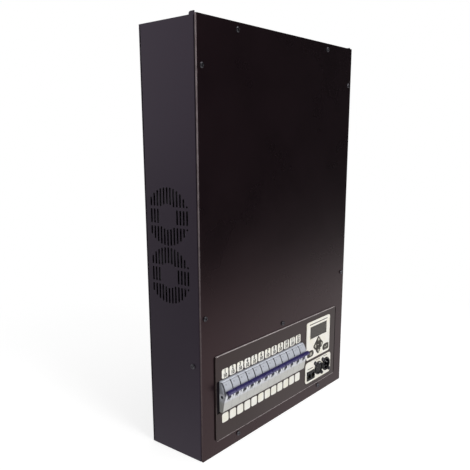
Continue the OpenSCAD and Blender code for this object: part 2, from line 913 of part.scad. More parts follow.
module through_socket() {
    front = front_face - flange_t - rim_p;
    latch_mid = (latch_low + latch_high) / 2;
    color([0.07, 0.07, 0.08]) translate([thru_at[0], 0, thru_at[1]]) difference() {
        socket_shell();
        difference() {
            rod_y([0, 0], front - over, cavity_end, cavity_r);
            rod_y([0, 0], front + 0.8, cavity_end + over, insert_r);
        }
        for (a = contact_angles)
            rod_y(contact_circle_r * [cos(a), sin(a)], front, cavity_end - 2, contact_r + 0.3);
        upright(front - over, front + latch_l + latch_travel) translate([0, latch_mid])
            square([latch_w + 2 * latch_gap, latch_high - latch_low + 2 * latch_gap], center = true);
    }
}

module through_latch() {
    front = front_face - flange_t - rim_p;
    latch_mid = (latch_low + latch_high) / 2;
    color([0.12, 0.12, 0.13]) translate([thru_at[0], 0, thru_at[1]])
        upright(front - latch_p, front + latch_l - latch_p) translate([0, latch_mid])
            square([latch_w, latch_high - latch_low], center = true);
}

module socket_screws() {
    head_at = front_face - flange_t;
    color([0.1, 0.1, 0.11]) for (at = [input_at, thru_at], s = [-1, 1]) {
        rod_y(at + s * ear_at, head_at - socket_head_h, head_at, socket_head_r);
        rod_y(at + s * ear_at, head_at - 0.1, front_face + plate_t, socket_screw_r - 0.05);
    }
}

// Hat-shaped rail that the breakers clip on
module din_rail() {
    left = row_x - blank_w - blank_over - rail_over;
    color([0.7, 0.71, 0.72]) sideways(left, row_end + rail_over)
        translate([rail_front, brk_z]) {
            for (s = [-1, 1]) {
                translate([0, s > 0 ? rail_crown_w / 2 - rail_t : -rail_w / 2])
                    square([rail_t, (rail_w - rail_crown_w) / 2 + rail_t]);
                translate([0, s * (rail_crown_w - rail_t) / 2 - rail_t / 2]) square([rail_h, rail_t]);
            }
            translate([rail_h - rail_t, -rail_crown_w / 2]) square([rail_t, rail_crown_w]);
        }
}

// Hat brackets that stand on the rear panel and carry the rail
module rail_brackets() {
    color([0.6, 0.61, 0.63]) for (x = [row_x + bracket_in, row_end - bracket_in])
        level(brk_z - bracket_h / 2, brk_z + bracket_h / 2) translate([x, 0]) {
            translate([-bracket_w / 2, rail_back]) square([bracket_w, bracket_t]);
            for (s = [-1, 1]) {
                translate([s > 0 ? bracket_w / 2 - bracket_t : -bracket_w / 2, rail_back])
                    square([bracket_t, rear_in - rail_back]);
                translate([s > 0 ? bracket_w / 2 - bracket_t : -bracket_w / 2 - bracket_foot,
                    rear_in - bracket_t]) square([bracket_foot + bracket_t, bracket_t]);
            }
        }
}

// Side-on outline of a module that clips on the rail, in depth and height
module module_section(front_p, front_gap) {
    half = brk_body_h / 2;
    notch = rail_w / 2 + rail_gap;
    polygon([
        [brk_back, brk_z - half], [brk_back, brk_z - notch], [rail_front, brk_z - notch],
        [rail_front, brk_z + notch], [brk_back, brk_z + notch], [brk_back, brk_z + half],
        [brk_shoulder + 3, brk_z + half], [brk_shoulder, brk_z + half - 3],
        [brk_shoulder, brk_high - front_gap], [-front_p, brk_high - front_gap],
        [-front_p, brk_low + front_gap], [brk_shoulder, brk_low + front_gap],
        [brk_shoulder, brk_z - half + 3], [brk_shoulder + 3, brk_z - half]
    ]);
}

// Side-on outline of the nose's rounded upper half, set back by a depth
module nose_cap(back) {
    root = -brk_front_p + over;
    curve_z = brk_z + 4.4;
    intersection() {
        translate([nose_r - nose_p, curve_z]) circle(nose_r - back, $fn = 96);
        translate([-nose_p - over, curve_z - over])
            square([nose_p + over + root, brk_high - 0.5 - curve_z + over]);
    }
    translate([-nose_p + back, brk_z]) square([nose_p - back + root, curve_z - brk_z]);
}

// Side-on outline of the nose's lower half, which slopes back to the front part
module nose_foot() {
    root = -brk_front_p + over;
    polygon([
        [root, brk_z + 0.5], [-nose_p, brk_z + 0.5], [-nose_p, brk_z - 0.5],
        [-nose_p + 1.8, brk_z - 4.5], [-nose_p + 4.3, brk_low + 3.9],
        [-nose_p + 5.8, brk_low + 1], [root, brk_low + 0.4]
    ]);
}

// Side-on outline of the hollow that the drum and neck turn in
module toggle_hollow() {
    translate([-pivot_p, pivot_z]) {
        circle(drum_r + drum_gap);
        polygon([
            [0, 0],
            slot_reach * [-cos(slot_angle), sin(slot_angle)],
            [-slot_reach, 0],
            slot_reach * [-cos(slot_angle), -sin(slot_angle)]
        ]);
    }
}

module breaker(x) {
    cap_w = brk_w - nose_in;
    flank = brk_w / 2 - flank_recess;
    difference() {
        union() {
            sideways(x - brk_w / 2, x + brk_w / 2) {
                module_section(brk_front_p, 0);
                nose_cap(groove_deep);
                nose_foot();
            }
            sideways(x - cap_w / 2, x + cap_w / 2) nose_cap(0);
        }
        sideways(x - neck_w / 2 - drum_gap, x + neck_w / 2 + drum_gap) toggle_hollow();
        rod_x(-pivot_p, pivot_z, x - brk_w, x + brk_w, trunnion_hole_r);
        for (s = [-1, 1]) intersection() {
            rod_x(-pivot_p, pivot_z, x + (s > 0 ? flank : -brk_w), x + (s > 0 ? brk_w : -flank),
                flank_recess_r);
            sideways(x - brk_w, x + brk_w) translate([-nose_p - over, brk_low])
                square([nose_p + over - fascia_t, brk_front_h]);
        }
    }
}

// Half-width blank beside the first breaker, which fills the rest of the opening
module row_blank() {
    end = row_x - blank_gap;
    color([0.06, 0.06, 0.07]) intersection() {
        sideways(end - blank_w - blank_over, end) module_section(blank_p, blank_gap);
        union() {
            sideways(end - blank_w, end) translate([-blank_p - over, brk_low])
                square([brk_back + blank_p + 2 * over, brk_front_h]);
            sideways(end - blank_w - blank_over, end) translate([brk_shoulder, 0])
                square([brk_back, 2 * brk_z]);
        }
    }
}

module breaker_housings() {
    color([0.76, 0.77, 0.78]) for (i = [0:channels - 1]) breaker(row_x + (i + 0.5) * brk_pitch);
}

// A toggle, up as it is when the breaker is on
module toggle(i) {
    x = row_x + (i - 0.5) * brk_pitch;
    grip_w = brk_pitch - grip_gap;
    pin = brk_w / 2 - trunnion_in;
    color([0.17, 0.16, 0.38]) {
        rod_x(-pivot_p, pivot_z, x - neck_w / 2, x + neck_w / 2, drum_r);
        rod_x(-pivot_p, pivot_z, x - pin, x + pin, trunnion_r);
        sideways(x - neck_w / 2, x + neck_w / 2) toggle_arm()
            translate([0, -neck_t / 2]) square([grip_from + grip_l / 2, neck_t]);
        sideways(x - grip_w / 2, x + grip_w / 2) toggle_arm()
            translate([grip_from + grip_l / 2, 0]) rounded(grip_l, grip_t, 0.8);
    }
}

// Turns a shape drawn outwards from the pivot to the toggle's angle
module toggle_arm() {
    translate([-pivot_p, pivot_z]) mirror([1, 0]) rotate(toggle_angle) children();
}

// Square fan frame with its bore, corner holes, struts and motor seat, its axis along X
module fan_frame(z) {
    back = fan_x + fan_t;
    hole = fan_hole_pitch / 2;
    color([0.1, 0.1, 0.11]) difference() {
        union() {
            difference() {
                union() {
                    for (x = [fan_x, back - fan_flange_t])
                        sideways(x, x + fan_flange_t) translate([fan_d, z])
                            rounded(fan_size, fan_size, fan_corner_r);
                    rod_x(fan_d, z, fan_x, back, fan_wall_r);
                }
                rod_x(fan_d, z, fan_x - over, back + over, fan_bore_r);
            }
            sideways(back - motor_t, back) translate([fan_d, z]) {
                circle(motor_r);
                for (a = [45:90:315]) rotate(a) translate([motor_r - over, -strut_w / 2])
                    square([fan_bore_r - motor_r + 2 * over - 0.4, strut_w]);
            }
            rod_x(fan_d, z, back - motor_t - bearing_l, back - motor_t + over, bearing_r);
        }
        rod_x(fan_d, z, back - motor_t - bearing_l - over, back - 1, shaft_r + shaft_gap);
        for (sy = [-1, 1], sz = [-1, 1])
            rod_x(fan_d + sy * hole, z + sz * hole, fan_x - over, back + over, fan_screw_r);
    }
}

// One bowed and pitched blade, its root at the hub, in a frame whose Z is the rotor's axis
module blade() {
    tip = fan_bore_r - blade_gap;
    intersection() {
        translate([0, -blade_bow_r * sin(blade_pitch), blade_bow_r * cos(blade_pitch)])
            rotate([0, 90, 0]) difference() {
                cylinder(h = tip + over, r = blade_bow_r + blade_t / 2);
                translate([0, 0, -over]) cylinder(h = tip + 3 * over, r = blade_bow_r - blade_t / 2);
            }
        difference() {
            translate([0, 0, -blade_l / 2]) cylinder(h = blade_l, r = tip);
            translate([0, 0, -blade_l]) cylinder(h = 2 * blade_l, r = motor_r - 1);
        }
        translate([motor_r - 2 * over, -14, -blade_l]) cube([tip, 28, 2 * blade_l]);
    }
}

module fan_rotor(z) {
    front = fan_x + rotor_front;
    color([0.13, 0.13, 0.14]) translate([front, fan_d - body_d / 2, z]) rotate([0, 90, 0]) {
        difference() {
            cylinder(h = hub_l, r = motor_r);
            translate([0, 0, rotor_wall]) cylinder(h = hub_l, r = motor_r - 1.6);
        }
        cylinder(h = fan_t - rotor_front - motor_t + 1.5, r = shaft_r);
        translate([0, 0, hub_l / 2]) for (k = [0:blade_n - 1]) rotate(k * 360 / blade_n) blade();
    }
}

module upper_fan_frame() { fan_frame(fan_heights[0]); }
module lower_fan_frame() { fan_frame(fan_heights[1]); }
module upper_fan_rotor() { fan_rotor(fan_heights[0]); }
module lower_fan_rotor() { fan_rotor(fan_heights[1]); }

// Finned block across the air's path, its fin tips on the rear panel
module heat_sink() {
    pitch = (sink_h - fin_t) / (fin_n - 1);
    color([0.72, 0.73, 0.75]) sideways(sink_x0, sink_x1) translate([sink_front, sink_z]) {
        square([sink_base_t, sink_h]);
        for (k = [0:fin_n - 1]) translate([sink_base_t - over, k * pitch])
            square([rear_in - sink_front - sink_base_t + over, fin_t]);
    }
}

// Power module with a stepped top and three terminal screws
module power_module(at) {
    upright(sink_front - power_t * 0.6, sink_front) translate(at) rounded(block_w, power_h, 2);
    upright(sink_front - power_t, sink_front - power_t * 0.5) translate(at)
        rounded(block_w - 12, power_h - 8, 2);
    for (dz = [-1:1])
        rod_y(at + [0, dz * power_h / 4], sink_front - power_t - 2.5, sink_front - power_t + over, 4);
}

module power_modules() {
    middle_x = (sink_x0 + sink_x1) / 2;
    middle_z = sink_z + sink_h / 2;
    color([0.22, 0.22, 0.24]) for (i = [0:5], s = [-1, 1])
        power_module([middle_x + (i - 2.5) * module_pitch, middle_z + s * power_row / 2]);
}

choke_at = [for (i = [0:5], row = [0, 1]) [(i - 2.5) * choke_pitch, choke_z + row * choke_row]];

module chokes() {
    middle_r = (choke_r + choke_hole_r) / 2;
    color([0.62, 0.35, 0.16]) for (at = choke_at)
        translate([at[0], rear_in - choke_t / 2 - body_d / 2, at[1]]) rotate([90, 0, 0])
            rotate_extrude() translate([middle_r, 0])
                rounded(choke_r - choke_hole_r, choke_t, choke_edge_r);
}

// Bolt, dished washer and nut that clamp each choke to the rear panel
module choke_bolts() {
    face = rear_in - choke_t;
    color([0.66, 0.67, 0.69]) for (at = choke_at) {
        rod_y(at, face - nut_t - 3, rear_in, bolt_r);
        rod_y(at, face - washer_t, face, washer_r);
        translate([at[0], face - washer_t - nut_t - body_d / 2, at[1]]) rotate([-90, 0, 0])
            cylinder(h = nut_t, r = nut_r, $fn = 6);
    }
}

driver_post_at = [for (sx = [-1, 1], sz = [-1, 1]) [sx * (driver_w / 2 - 10), driver_z + sz * 17]];
bar_post_at = [for (s = [-1, 1]) [bar_x + s * bar_w * 0.36, neutral_z]];

// Board that fires the power modules, with its isolators and ribbon socket
module driver_board() {
    color([0.1, 0.33, 0.2]) {
        upright(driver_front, driver_front + driver_t) translate([0, driver_z])
            rounded(driver_w, driver_h, 2);
        upright(driver_front - 4, driver_front + driver_t / 2) for (i = [0:channels - 1])
            translate([(i - 5.5) * 18 - 16, driver_z - 12]) square([9, 12], center = true);
        upright(driver_front - 6, driver_front + driver_t / 2)
            translate([ribbon_x, driver_z + 6]) square([plug_w, plug_h], center = true);
    }
}

module nylon_posts() {
    color([0.85, 0.85, 0.82]) {
        for (at = driver_post_at) rod_y(at, driver_front + driver_t, rear_in, post_r);
        for (at = bar_post_at) rod_y(at, bar_front + bar_t, rear_in, post_r);
    }
}

// Small laminated transformer that supplies the control side
module control_transformer() {
    color([0.35, 0.35, 0.37]) translate([transformer_at[0], 0, transformer_at[1]]) {
        upright(rear_in - 2, rear_in) rounded(core_w + 2 * transformer_foot, core_h + 2, 3);
        upright(rear_in - core_deep, rear_in - over) square([core_w, core_h], center = true);
        upright(rear_in - core_deep - 4, rear_in - 4)
            rounded(core_w * 0.6, core_h + 2 * winding_over, 4);
    }
}

// Row of clamp terminals: a stepped body with a screw well and a wire mouth in each pole
module terminal_row(x0, z0, poles, pitch, tall, deep) {
    low = rear_in - deep;
    difference() {
        sideways(x0, x0 + poles * pitch) translate([0, z0]) polygon([
            [rear_in, 0], [rear_in, tall], [low + deep * 0.45, tall], [low, tall * 0.7],
            [low, tall * 0.3], [low + deep * 0.45, 0]
        ]);
        for (i = [0:poles - 1])
            rod_y([x0 + (i + 0.5) * pitch, z0 + tall / 2], low - over, low + deep * 0.3, pitch * 0.28);
        for (i = [1:poles - 1])
            upright(low - over, low + deep * 0.3) translate([x0 + i * pitch - 0.5, z0 - over])
                square([1, tall + 2 * over]);
    }
}

module supply_terminals() {
    color([0.55, 0.55, 0.53])
        terminal_row(supply_x, supply_z, 5, supply_pitch, supply_h, supply_deep);
}

module output_terminals() {
    color([0.55, 0.55, 0.53])
        terminal_row(-output_poles * output_pitch / 2, output_z, output_poles, output_pitch,
            output_h, output_deep);
}

// Brass bar with a row of clamp screws
module clamp_bar(z) {
    difference() {
        upright(bar_front, bar_front + bar_t) translate([bar_x, z])
            square([bar_w, bar_h], center = true);
        for (i = [0:channels])
            rod_y([bar_x + (i - 6) * bar_w / (channels + 1.6), z], bar_front - over,
                bar_front + bar_t * 0.7, 2.2);
    }
}

module neutral_bar() {
    color([0.72, 0.58, 0.3]) clamp_bar(neutral_z);
}

module earth_bar() {
    color([0.72, 0.58, 0.3]) {
        clamp_bar(earth_z);
        for (s = [-1, 1]) rod_y([bar_x + s * bar_w * 0.36, earth_z], bar_front + bar_t - 0.5, rear_in, 3.5);
    }
}

// Ribbon cable from the control board up to the driver board, inside the case
module ribbon_cable() {
    from = board_front + board_t + 6;
    low = window_z + 8;
    high = driver_z + 6;
    bend_at = 50;
    to = driver_front - 6;
    r = 4;
    color([0.6, 0.6, 0.62]) sideways(ribbon_x - ribbon_w / 2, ribbon_x + ribbon_w / 2) {
        translate([from, low - ribbon_t / 2]) square([bend_at - r - from, ribbon_t]);
        translate([bend_at - ribbon_t / 2, low + r]) square([ribbon_t, high - low - 2 * r]);
        translate([bend_at + r, high - ribbon_t / 2]) square([to - bend_at - r, ribbon_t]);
        intersection() {
            translate([bend_at - r, low + r]) difference() {
                circle(r + ribbon_t / 2);
                circle(r - ribbon_t / 2);
            }
            translate([bend_at - r, low - r]) square(2 * r);
        }
        intersection() {
            translate([bend_at + r, high - r]) difference() {
                circle(r + ribbon_t / 2);
                circle(r - ribbon_t / 2);
            }
            translate([bend_at - r, high - r]) square(2 * r);
        }
    }
}

rear_panel();
left_side_panel();
right_side_panel();
top_panel();
bottom_panel();
cross_rail();
front_cover();
case_screws();
control_fascia();
upper_channel_labels();
lower_channel_labels();
display_plate();
display_window();
display_module();
key_up();
key_down();
key_left();
key_right();
key_menu();
key_enter();
control_board();
key_switches();
socket_plate();
data_jack();
input_socket();
through_socket();
through_latch();
socket_screws();
din_rail();
rail_brackets();
breaker_housings();
row_blank();
for (i = [1:channels])
    toggle(i);
upper_fan_frame();
lower_fan_frame();
upper_fan_rotor();
lower_fan_rotor();
heat_sink();
power_modules();
chokes();
choke_bolts();
driver_board();
nylon_posts();
control_transformer();
supply_terminals();
output_terminals();
neutral_bar();
earth_bar();
ribbon_cable();
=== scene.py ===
"""Wall-mounted dimmer pack: finishes, print, contacts, studio and camera round the CAD frame."""
import json
import math

import bmesh
import bpy
from mathutils import Matrix, Vector


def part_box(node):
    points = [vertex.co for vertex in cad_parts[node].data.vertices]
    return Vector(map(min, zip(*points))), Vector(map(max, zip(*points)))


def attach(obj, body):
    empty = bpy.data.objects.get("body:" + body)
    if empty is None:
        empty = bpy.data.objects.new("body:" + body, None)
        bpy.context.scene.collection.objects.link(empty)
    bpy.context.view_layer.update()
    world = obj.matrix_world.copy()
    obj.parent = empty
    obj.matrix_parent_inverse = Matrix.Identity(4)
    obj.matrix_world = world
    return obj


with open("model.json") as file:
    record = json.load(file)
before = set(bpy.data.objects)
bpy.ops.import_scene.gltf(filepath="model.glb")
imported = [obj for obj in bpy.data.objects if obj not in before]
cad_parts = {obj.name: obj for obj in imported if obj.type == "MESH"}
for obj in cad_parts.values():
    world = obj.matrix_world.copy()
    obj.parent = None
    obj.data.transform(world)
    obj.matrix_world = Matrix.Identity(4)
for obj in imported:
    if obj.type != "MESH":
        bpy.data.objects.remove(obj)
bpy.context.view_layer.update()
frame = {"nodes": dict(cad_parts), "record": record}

MM = 0.001
COVER_Y = -0.051
PLATE_Y = COVER_Y - 3 * MM
FASCIA_LOW, FASCIA_HIGH = 21.2 * MM, 151.2 * MM

# The row of breakers: its left end, the pitch, and the axis that the toggles turn on
ROW_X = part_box("breaker_housings")[0].x - 0.15 * MM
PITCH = 18 * MM
ROW_END = ROW_X + 12 * PITCH
PIVOT_Y = COVER_Y - 5.3 * MM
PIVOT_Z = 88.8 * MM

# The arc of the caps above the toggles: its radius and its centre, behind the cover's face
CAP_R, CAP_BACK, CAP_Z = 30.8 * MM, 18.6 * MM, 92.6 * MM


# Shader node groups

def put(tree, kind, inputs=None, **settings):
    """Adds a node, sets it up and joins or fills its inputs."""
    node = tree.nodes.new(kind)
    for name, value in settings.items():
        setattr(node, name, value)
    for name, value in (inputs or {}).items():
        if isinstance(value, bpy.types.NodeSocket):
            tree.links.new(value, node.inputs[name])
        else:
            node.inputs[name].default_value = value
    return node


def new_group(name, inputs, outputs):
    """A shader node group with float inputs and their defaults, and outputs of the named kinds."""
    group = bpy.data.node_groups.new(name, "ShaderNodeTree")
    for label, default in inputs.items():
        socket = group.interface.new_socket(label, in_out="INPUT", socket_type="NodeSocketFloat")
        socket.default_value = default
    for label, kind in outputs.items():
        group.interface.new_socket(label, in_out="OUTPUT", socket_type="NodeSocket" + kind)
    return group, group.nodes.new("NodeGroupInput"), group.nodes.new("NodeGroupOutput")


def sum_of(tree, *values, operation="ADD"):
    """Joins values by one Math operation after another and returns the last output."""
    result = values[0]
    for value in values[1:]:
        result = put(tree, "ShaderNodeMath", {0: result, 1: value}, operation=operation).outputs[0]
    return result


def product(tree, *values):
    return sum_of(tree, *values, operation="MULTIPLY")


def fade(tree, value, low, high, to_low=0.0, to_high=1.0):
    """Maps a value from one range smoothly to another."""
    return put(tree, "ShaderNodeMapRange",
               {"Value": value, "From Min": low, "From Max": high,
                "To Min": to_low, "To Max": to_high},
               interpolation_type="SMOOTHSTEP").outputs["Result"]


def noise(tree, vector, scale, detail=3.0, rough=0.55):
    return put(tree, "ShaderNodeTexNoise",
               {"Vector": vector, "Scale": scale, "Detail": detail, "Roughness": rough}
               ).outputs["Fac"]


def object_place(tree):
    """Object coordinates, whole and as X, Y and Z."""
    place = put(tree, "ShaderNodeTexCoord").outputs["Object"]
    return place, put(tree, "ShaderNodeSeparateXYZ", {0: place}).outputs


def coat_grain_group():
    """Fine orange-peel grain of a powder coat, with slow clouds of shade and gloss."""
    group, given, result = new_group(
        "coat_grain", {"Grain Scale": 900.0, "Cloud Scale": 9.0},
        {"Height": "Float", "Cloud": "Float", "Speck": "Float"})
    place = put(group, "ShaderNodeTexCoord").outputs["Object"]
    fine = noise(group, place, given.outputs["Grain Scale"], 2.0)
    finer = noise(group, place, product(group, given.outputs["Grain Scale"], 2.7), 1.0)
    height = sum_of(group, product(group, fine, 0.7), product(group, finer, 0.3))
    cloud = noise(group, place, given.outputs["Cloud Scale"], 4.0, 0.6)
    speck = put(group, "ShaderNodeTexVoronoi",
                {"Vector": place, "Scale": given.outputs["Grain Scale"]}).outputs["Distance"]
    group.links.new(height, result.inputs["Height"])
    group.links.new(cloud, result.inputs["Cloud"])
    group.links.new(fade(group, speck, 0.18, 0.05), result.inputs["Speck"])
    return group


def edge_wear_group():
    """Soft rounding of sharp edges, and a broken mask along them where a finish wears thin."""
    group, given, result = new_group(
        "edge_wear", {"Radius": 0.0005, "Breakup": 60.0, "Amount": 1.0},
        {"Mask": "Float", "Normal": "Vector"})
    rounded = put(group, "ShaderNodeBevel", {"Radius": given.outputs["Radius"]}, samples=4)
    flat = put(group, "ShaderNodeNewGeometry").outputs["Normal"]
    along = put(group, "ShaderNodeVectorMath",
                {0: rounded.outputs["Normal"], 1: flat}, operation="DOT_PRODUCT")
    turned = fade(group, along.outputs["Value"], 0.998, 0.86)
    place = put(group, "ShaderNodeTexCoord").outputs["Object"]
    broken = fade(group, noise(group, place, given.outputs["Breakup"], 4.0), 0.36, 0.62)
    mask = product(group, turned, broken, given.outputs["Amount"])
    group.links.new(mask, result.inputs["Mask"])
    group.links.new(rounded.outputs["Normal"], result.inputs["Normal"])
    return group


def crevice_shade_group():
    """Painted shade where faces meet or stand close together, from ambient occlusion, a little
    patchy.
    """
    group, given, result = new_group(
        "crevice_painted_shade", {"Reach": 0.004, "Amount": 0.6}, {"Mask": "Float"})
    open_share = put(group, "ShaderNodeAmbientOcclusion", {"Distance": given.outputs["Reach"]},
                     samples=8).outputs["AO"]
    place = put(group, "ShaderNodeTexCoord").outputs["Object"]
    patch = fade(group, noise(group, place, 130.0, 3.0), 0.2, 0.8, 0.75, 1.0)
    mask = product(group, fade(group, open_share, 0.85, 0.35), patch, given.outputs["Amount"])
    group.links.new(mask, result.inputs["Mask"])
    return group


def dust_group():
    """Thin dust that lies on faces turned upwards, in patches."""
    group, given, result = new_group(
        "dust", {"Amount": 0.3, "Patch Scale": 40.0}, {"Mask": "Float"})
    coordinates = put(group, "ShaderNodeTexCoord")
    up = put(group, "ShaderNodeSeparateXYZ", {0: coordinates.outputs["Normal"]}).outputs["Z"]
    patch = noise(group, coordinates.outputs["Object"], given.outputs["Patch Scale"], 5.0, 0.65)
    mask = product(group, fade(group, up, 0.35, 0.95), fade(group, patch, 0.3, 0.75),
                   given.outputs["Amount"])
    group.links.new(mask, result.inputs["Mask"])
    return group


def drawn_lines_group():
    """Fine parallel lines along X, as on drawn, brushed or extruded metal."""
    group, given, result = new_group(
        "drawn_lines", {"Scale": 500.0, "Stretch": 0.02}, {"Height": "Float", "Streak": "Float"})
    place = put(group, "ShaderNodeTexCoord").outputs["Object"]
    stretched = put(group, "ShaderNodeCombineXYZ",
                    {"X": given.outputs["Stretch"], "Y": 1.0, "Z": 1.0}).outputs[0]
    laid = put(group, "ShaderNodeVectorMath", {0: place, 1: stretched},
               operation="MULTIPLY").outputs[0]
    fine = noise(group, laid, given.outputs["Scale"], 3.0)
    broad = noise(group, laid, product(group, given.outputs["Scale"], 0.12), 2.0)
    group.links.new(fine, result.inputs["Height"])
    group.links.new(broad, result.inputs["Streak"])
    return group


GRAIN = coat_grain_group()
WEAR = edge_wear_group()
CREVICE_SHADE = crevice_shade_group()
DUST = dust_group()
LINES = drawn_lines_group()


# Finishes

class Finish:
    """One material: a Principled shader with the shared effects placed before it."""

    def __init__(self, name, **fixed):
        self.material = bpy.data.materials.new(name)
        self.material.use_nodes = True
        self.tree = self.material.node_tree
        self.shader = self.tree.nodes["Principled BSDF"]
        for label, value in fixed.items():
            self.shader.inputs[label.replace("_", " ")].default_value = value

    def effect(self, group, **values):
        node = put(self.tree, "ShaderNodeGroup", node_tree=group)
        for label, value in values.items():
            node.inputs[label.replace("_", " ")].default_value = value
        return node.outputs

    def mix(self, factor, first, second):
        """Colour mix of two colours or sockets by a factor."""
        node = put(self.tree, "ShaderNodeMix", data_type="RGBA")
        for index, value in ((0, factor), (6, first), (7, second)):
            if isinstance(value, bpy.types.NodeSocket):
                self.tree.links.new(value, node.inputs[index])
            else:
                node.inputs[index].default_value = value if index == 0 else (*value, 1.0)
        return node.outputs[2]

    def clouded(self, cloud, colour, spread):
        """A colour that drifts a little darker and lighter with slow clouds."""
        return self.mix(fade(self.tree, cloud, 0.3, 0.7), shade(colour, 1 - spread),
                        shade(colour, 1 + spread))

    def bump(self, height, distance, normal=None, strength=1.0):
        inputs = {"Height": height, "Distance": distance, "Strength": strength}
        if normal is not None:
            inputs["Normal"] = normal
        return put(self.tree, "ShaderNodeBump", inputs).outputs[0]

    def join(self, **outputs):
        for label, socket in outputs.items():
            self.tree.links.new(socket, self.shader.inputs[label.replace("_", " ")])
        return self.material


def shade(colour, factor):
    return tuple(channel * factor for channel in colour)


def powder_coat(name, colour, edge, rough, tint, grain=850.0, wear=0.6, dust=0.06,
                painted_highlight_rim=None, highlight_heights=(-0.2, -0.1), painted_shadow_x=None):
    """Satin powder coat on sheet steel: grain, slow clouds, thin edges and a little dust.

    painted_highlight_rim is an axis, two places on it between which the coat is whole, and the
    colour of the painted highlight line outside them. The line is full above the second height of
    highlight_heights and gone below the first. painted_shadow_x is the place on X from which the
    edge is painted as a dark, dull shadow.
    """
    finish = Finish(name, Specular_Tint=(*tint, 1.0))
    tree = finish.tree
    coat = finish.effect(GRAIN, Grain_Scale=grain, Cloud_Scale=7.0)
    worn = finish.effect(WEAR, Radius=0.0006, Breakup=45.0, Amount=wear)
    dusty = finish.effect(DUST, Amount=dust, Patch_Scale=22.0)
    body = finish.clouded(coat["Cloud"], colour, 0.16)
    body = finish.mix(product(tree, coat["Speck"], 0.35), body, shade(colour, 1.9))
    body = finish.mix(worn["Mask"], body, edge)
    # Painted highlight: a pale line along the two edges on the axis, broken up, fading by height
    if painted_highlight_rim:
        axis, low, high, bright = painted_highlight_rim
        place, at = object_place(tree)
        highlight_line = sum_of(tree, fade(tree, at[axis], low + 0.1 * MM, low - 0.1 * MM),
                     fade(tree, at[axis], high - 0.1 * MM, high + 0.1 * MM), operation="MAXIMUM")
        broken = product(tree, fade(tree, noise(tree, place, 90.0, 3.0), 0.25, 0.6, 0.6, 1.0),
                         fade(tree, at["Z"], *highlight_heights))
        body = finish.mix(product(tree, highlight_line, broken), body, bright)
    body = finish.mix(dusty["Mask"], body, (0.30, 0.28, 0.26))
    gloss = sum_of(tree, fade(tree, coat["Cloud"], 0.25, 0.75, rough - 0.03, rough + 0.04),
                   product(tree, dusty["Mask"], 0.3))
    # Painted shadow: the edge beyond this place on X turns near black and dull
    if painted_shadow_x:
        gap = fade(tree, object_place(tree)[1]["X"], painted_shadow_x - 0.1 * MM, painted_shadow_x + 0.1 * MM)
        body = finish.mix(gap, body, (0.002, 0.0015, 0.002))
        gloss = sum_of(tree, gloss, gap, operation="MAXIMUM")
        finish.join(Metallic=gap)
    return finish.join(Base_Color=body, Roughness=gloss,
                       Normal=finish.bump(coat["Height"], 0.00004, worn["Normal"]))


def moulded(name, colour, rough, grain=1400.0, depth=0.00003, dust=0.1, radius=0.0003,
            level=0.5, pale=1.35, crevice_shade=0.5):
    """Injection-moulded plastic: fine texture, soft bright edges, painted shade in its corners."""
    finish = Finish(name, Specular_IOR_Level=level)
    tree = finish.tree
    skin = finish.effect(GRAIN, Grain_Scale=grain, Cloud_Scale=35.0)
    worn = finish.effect(WEAR, Radius=radius, Breakup=160.0, Amount=0.5)
    dusty = finish.effect(DUST, Amount=dust, Patch_Scale=60.0)
    body = finish.clouded(skin["Cloud"], colour, 0.06)
    body = finish.mix(worn["Mask"], body, shade(colour, pale))
    if crevice_shade:
        # Painted shade in the corners, darker than the plastic's own colour
        shade_in_crevices = finish.effect(CREVICE_SHADE, Reach=0.003, Amount=crevice_shade)
        body = finish.mix(shade_in_crevices["Mask"], body, shade(colour, 0.25))
    body = finish.mix(dusty["Mask"], body, (0.33, 0.31, 0.28))
    gloss = fade(tree, skin["Cloud"], 0.25, 0.75, rough - 0.05, rough + 0.06)
    return finish.join(Base_Color=body, Roughness=gloss,
                       Normal=finish.bump(skin["Height"], depth, worn["Normal"]))


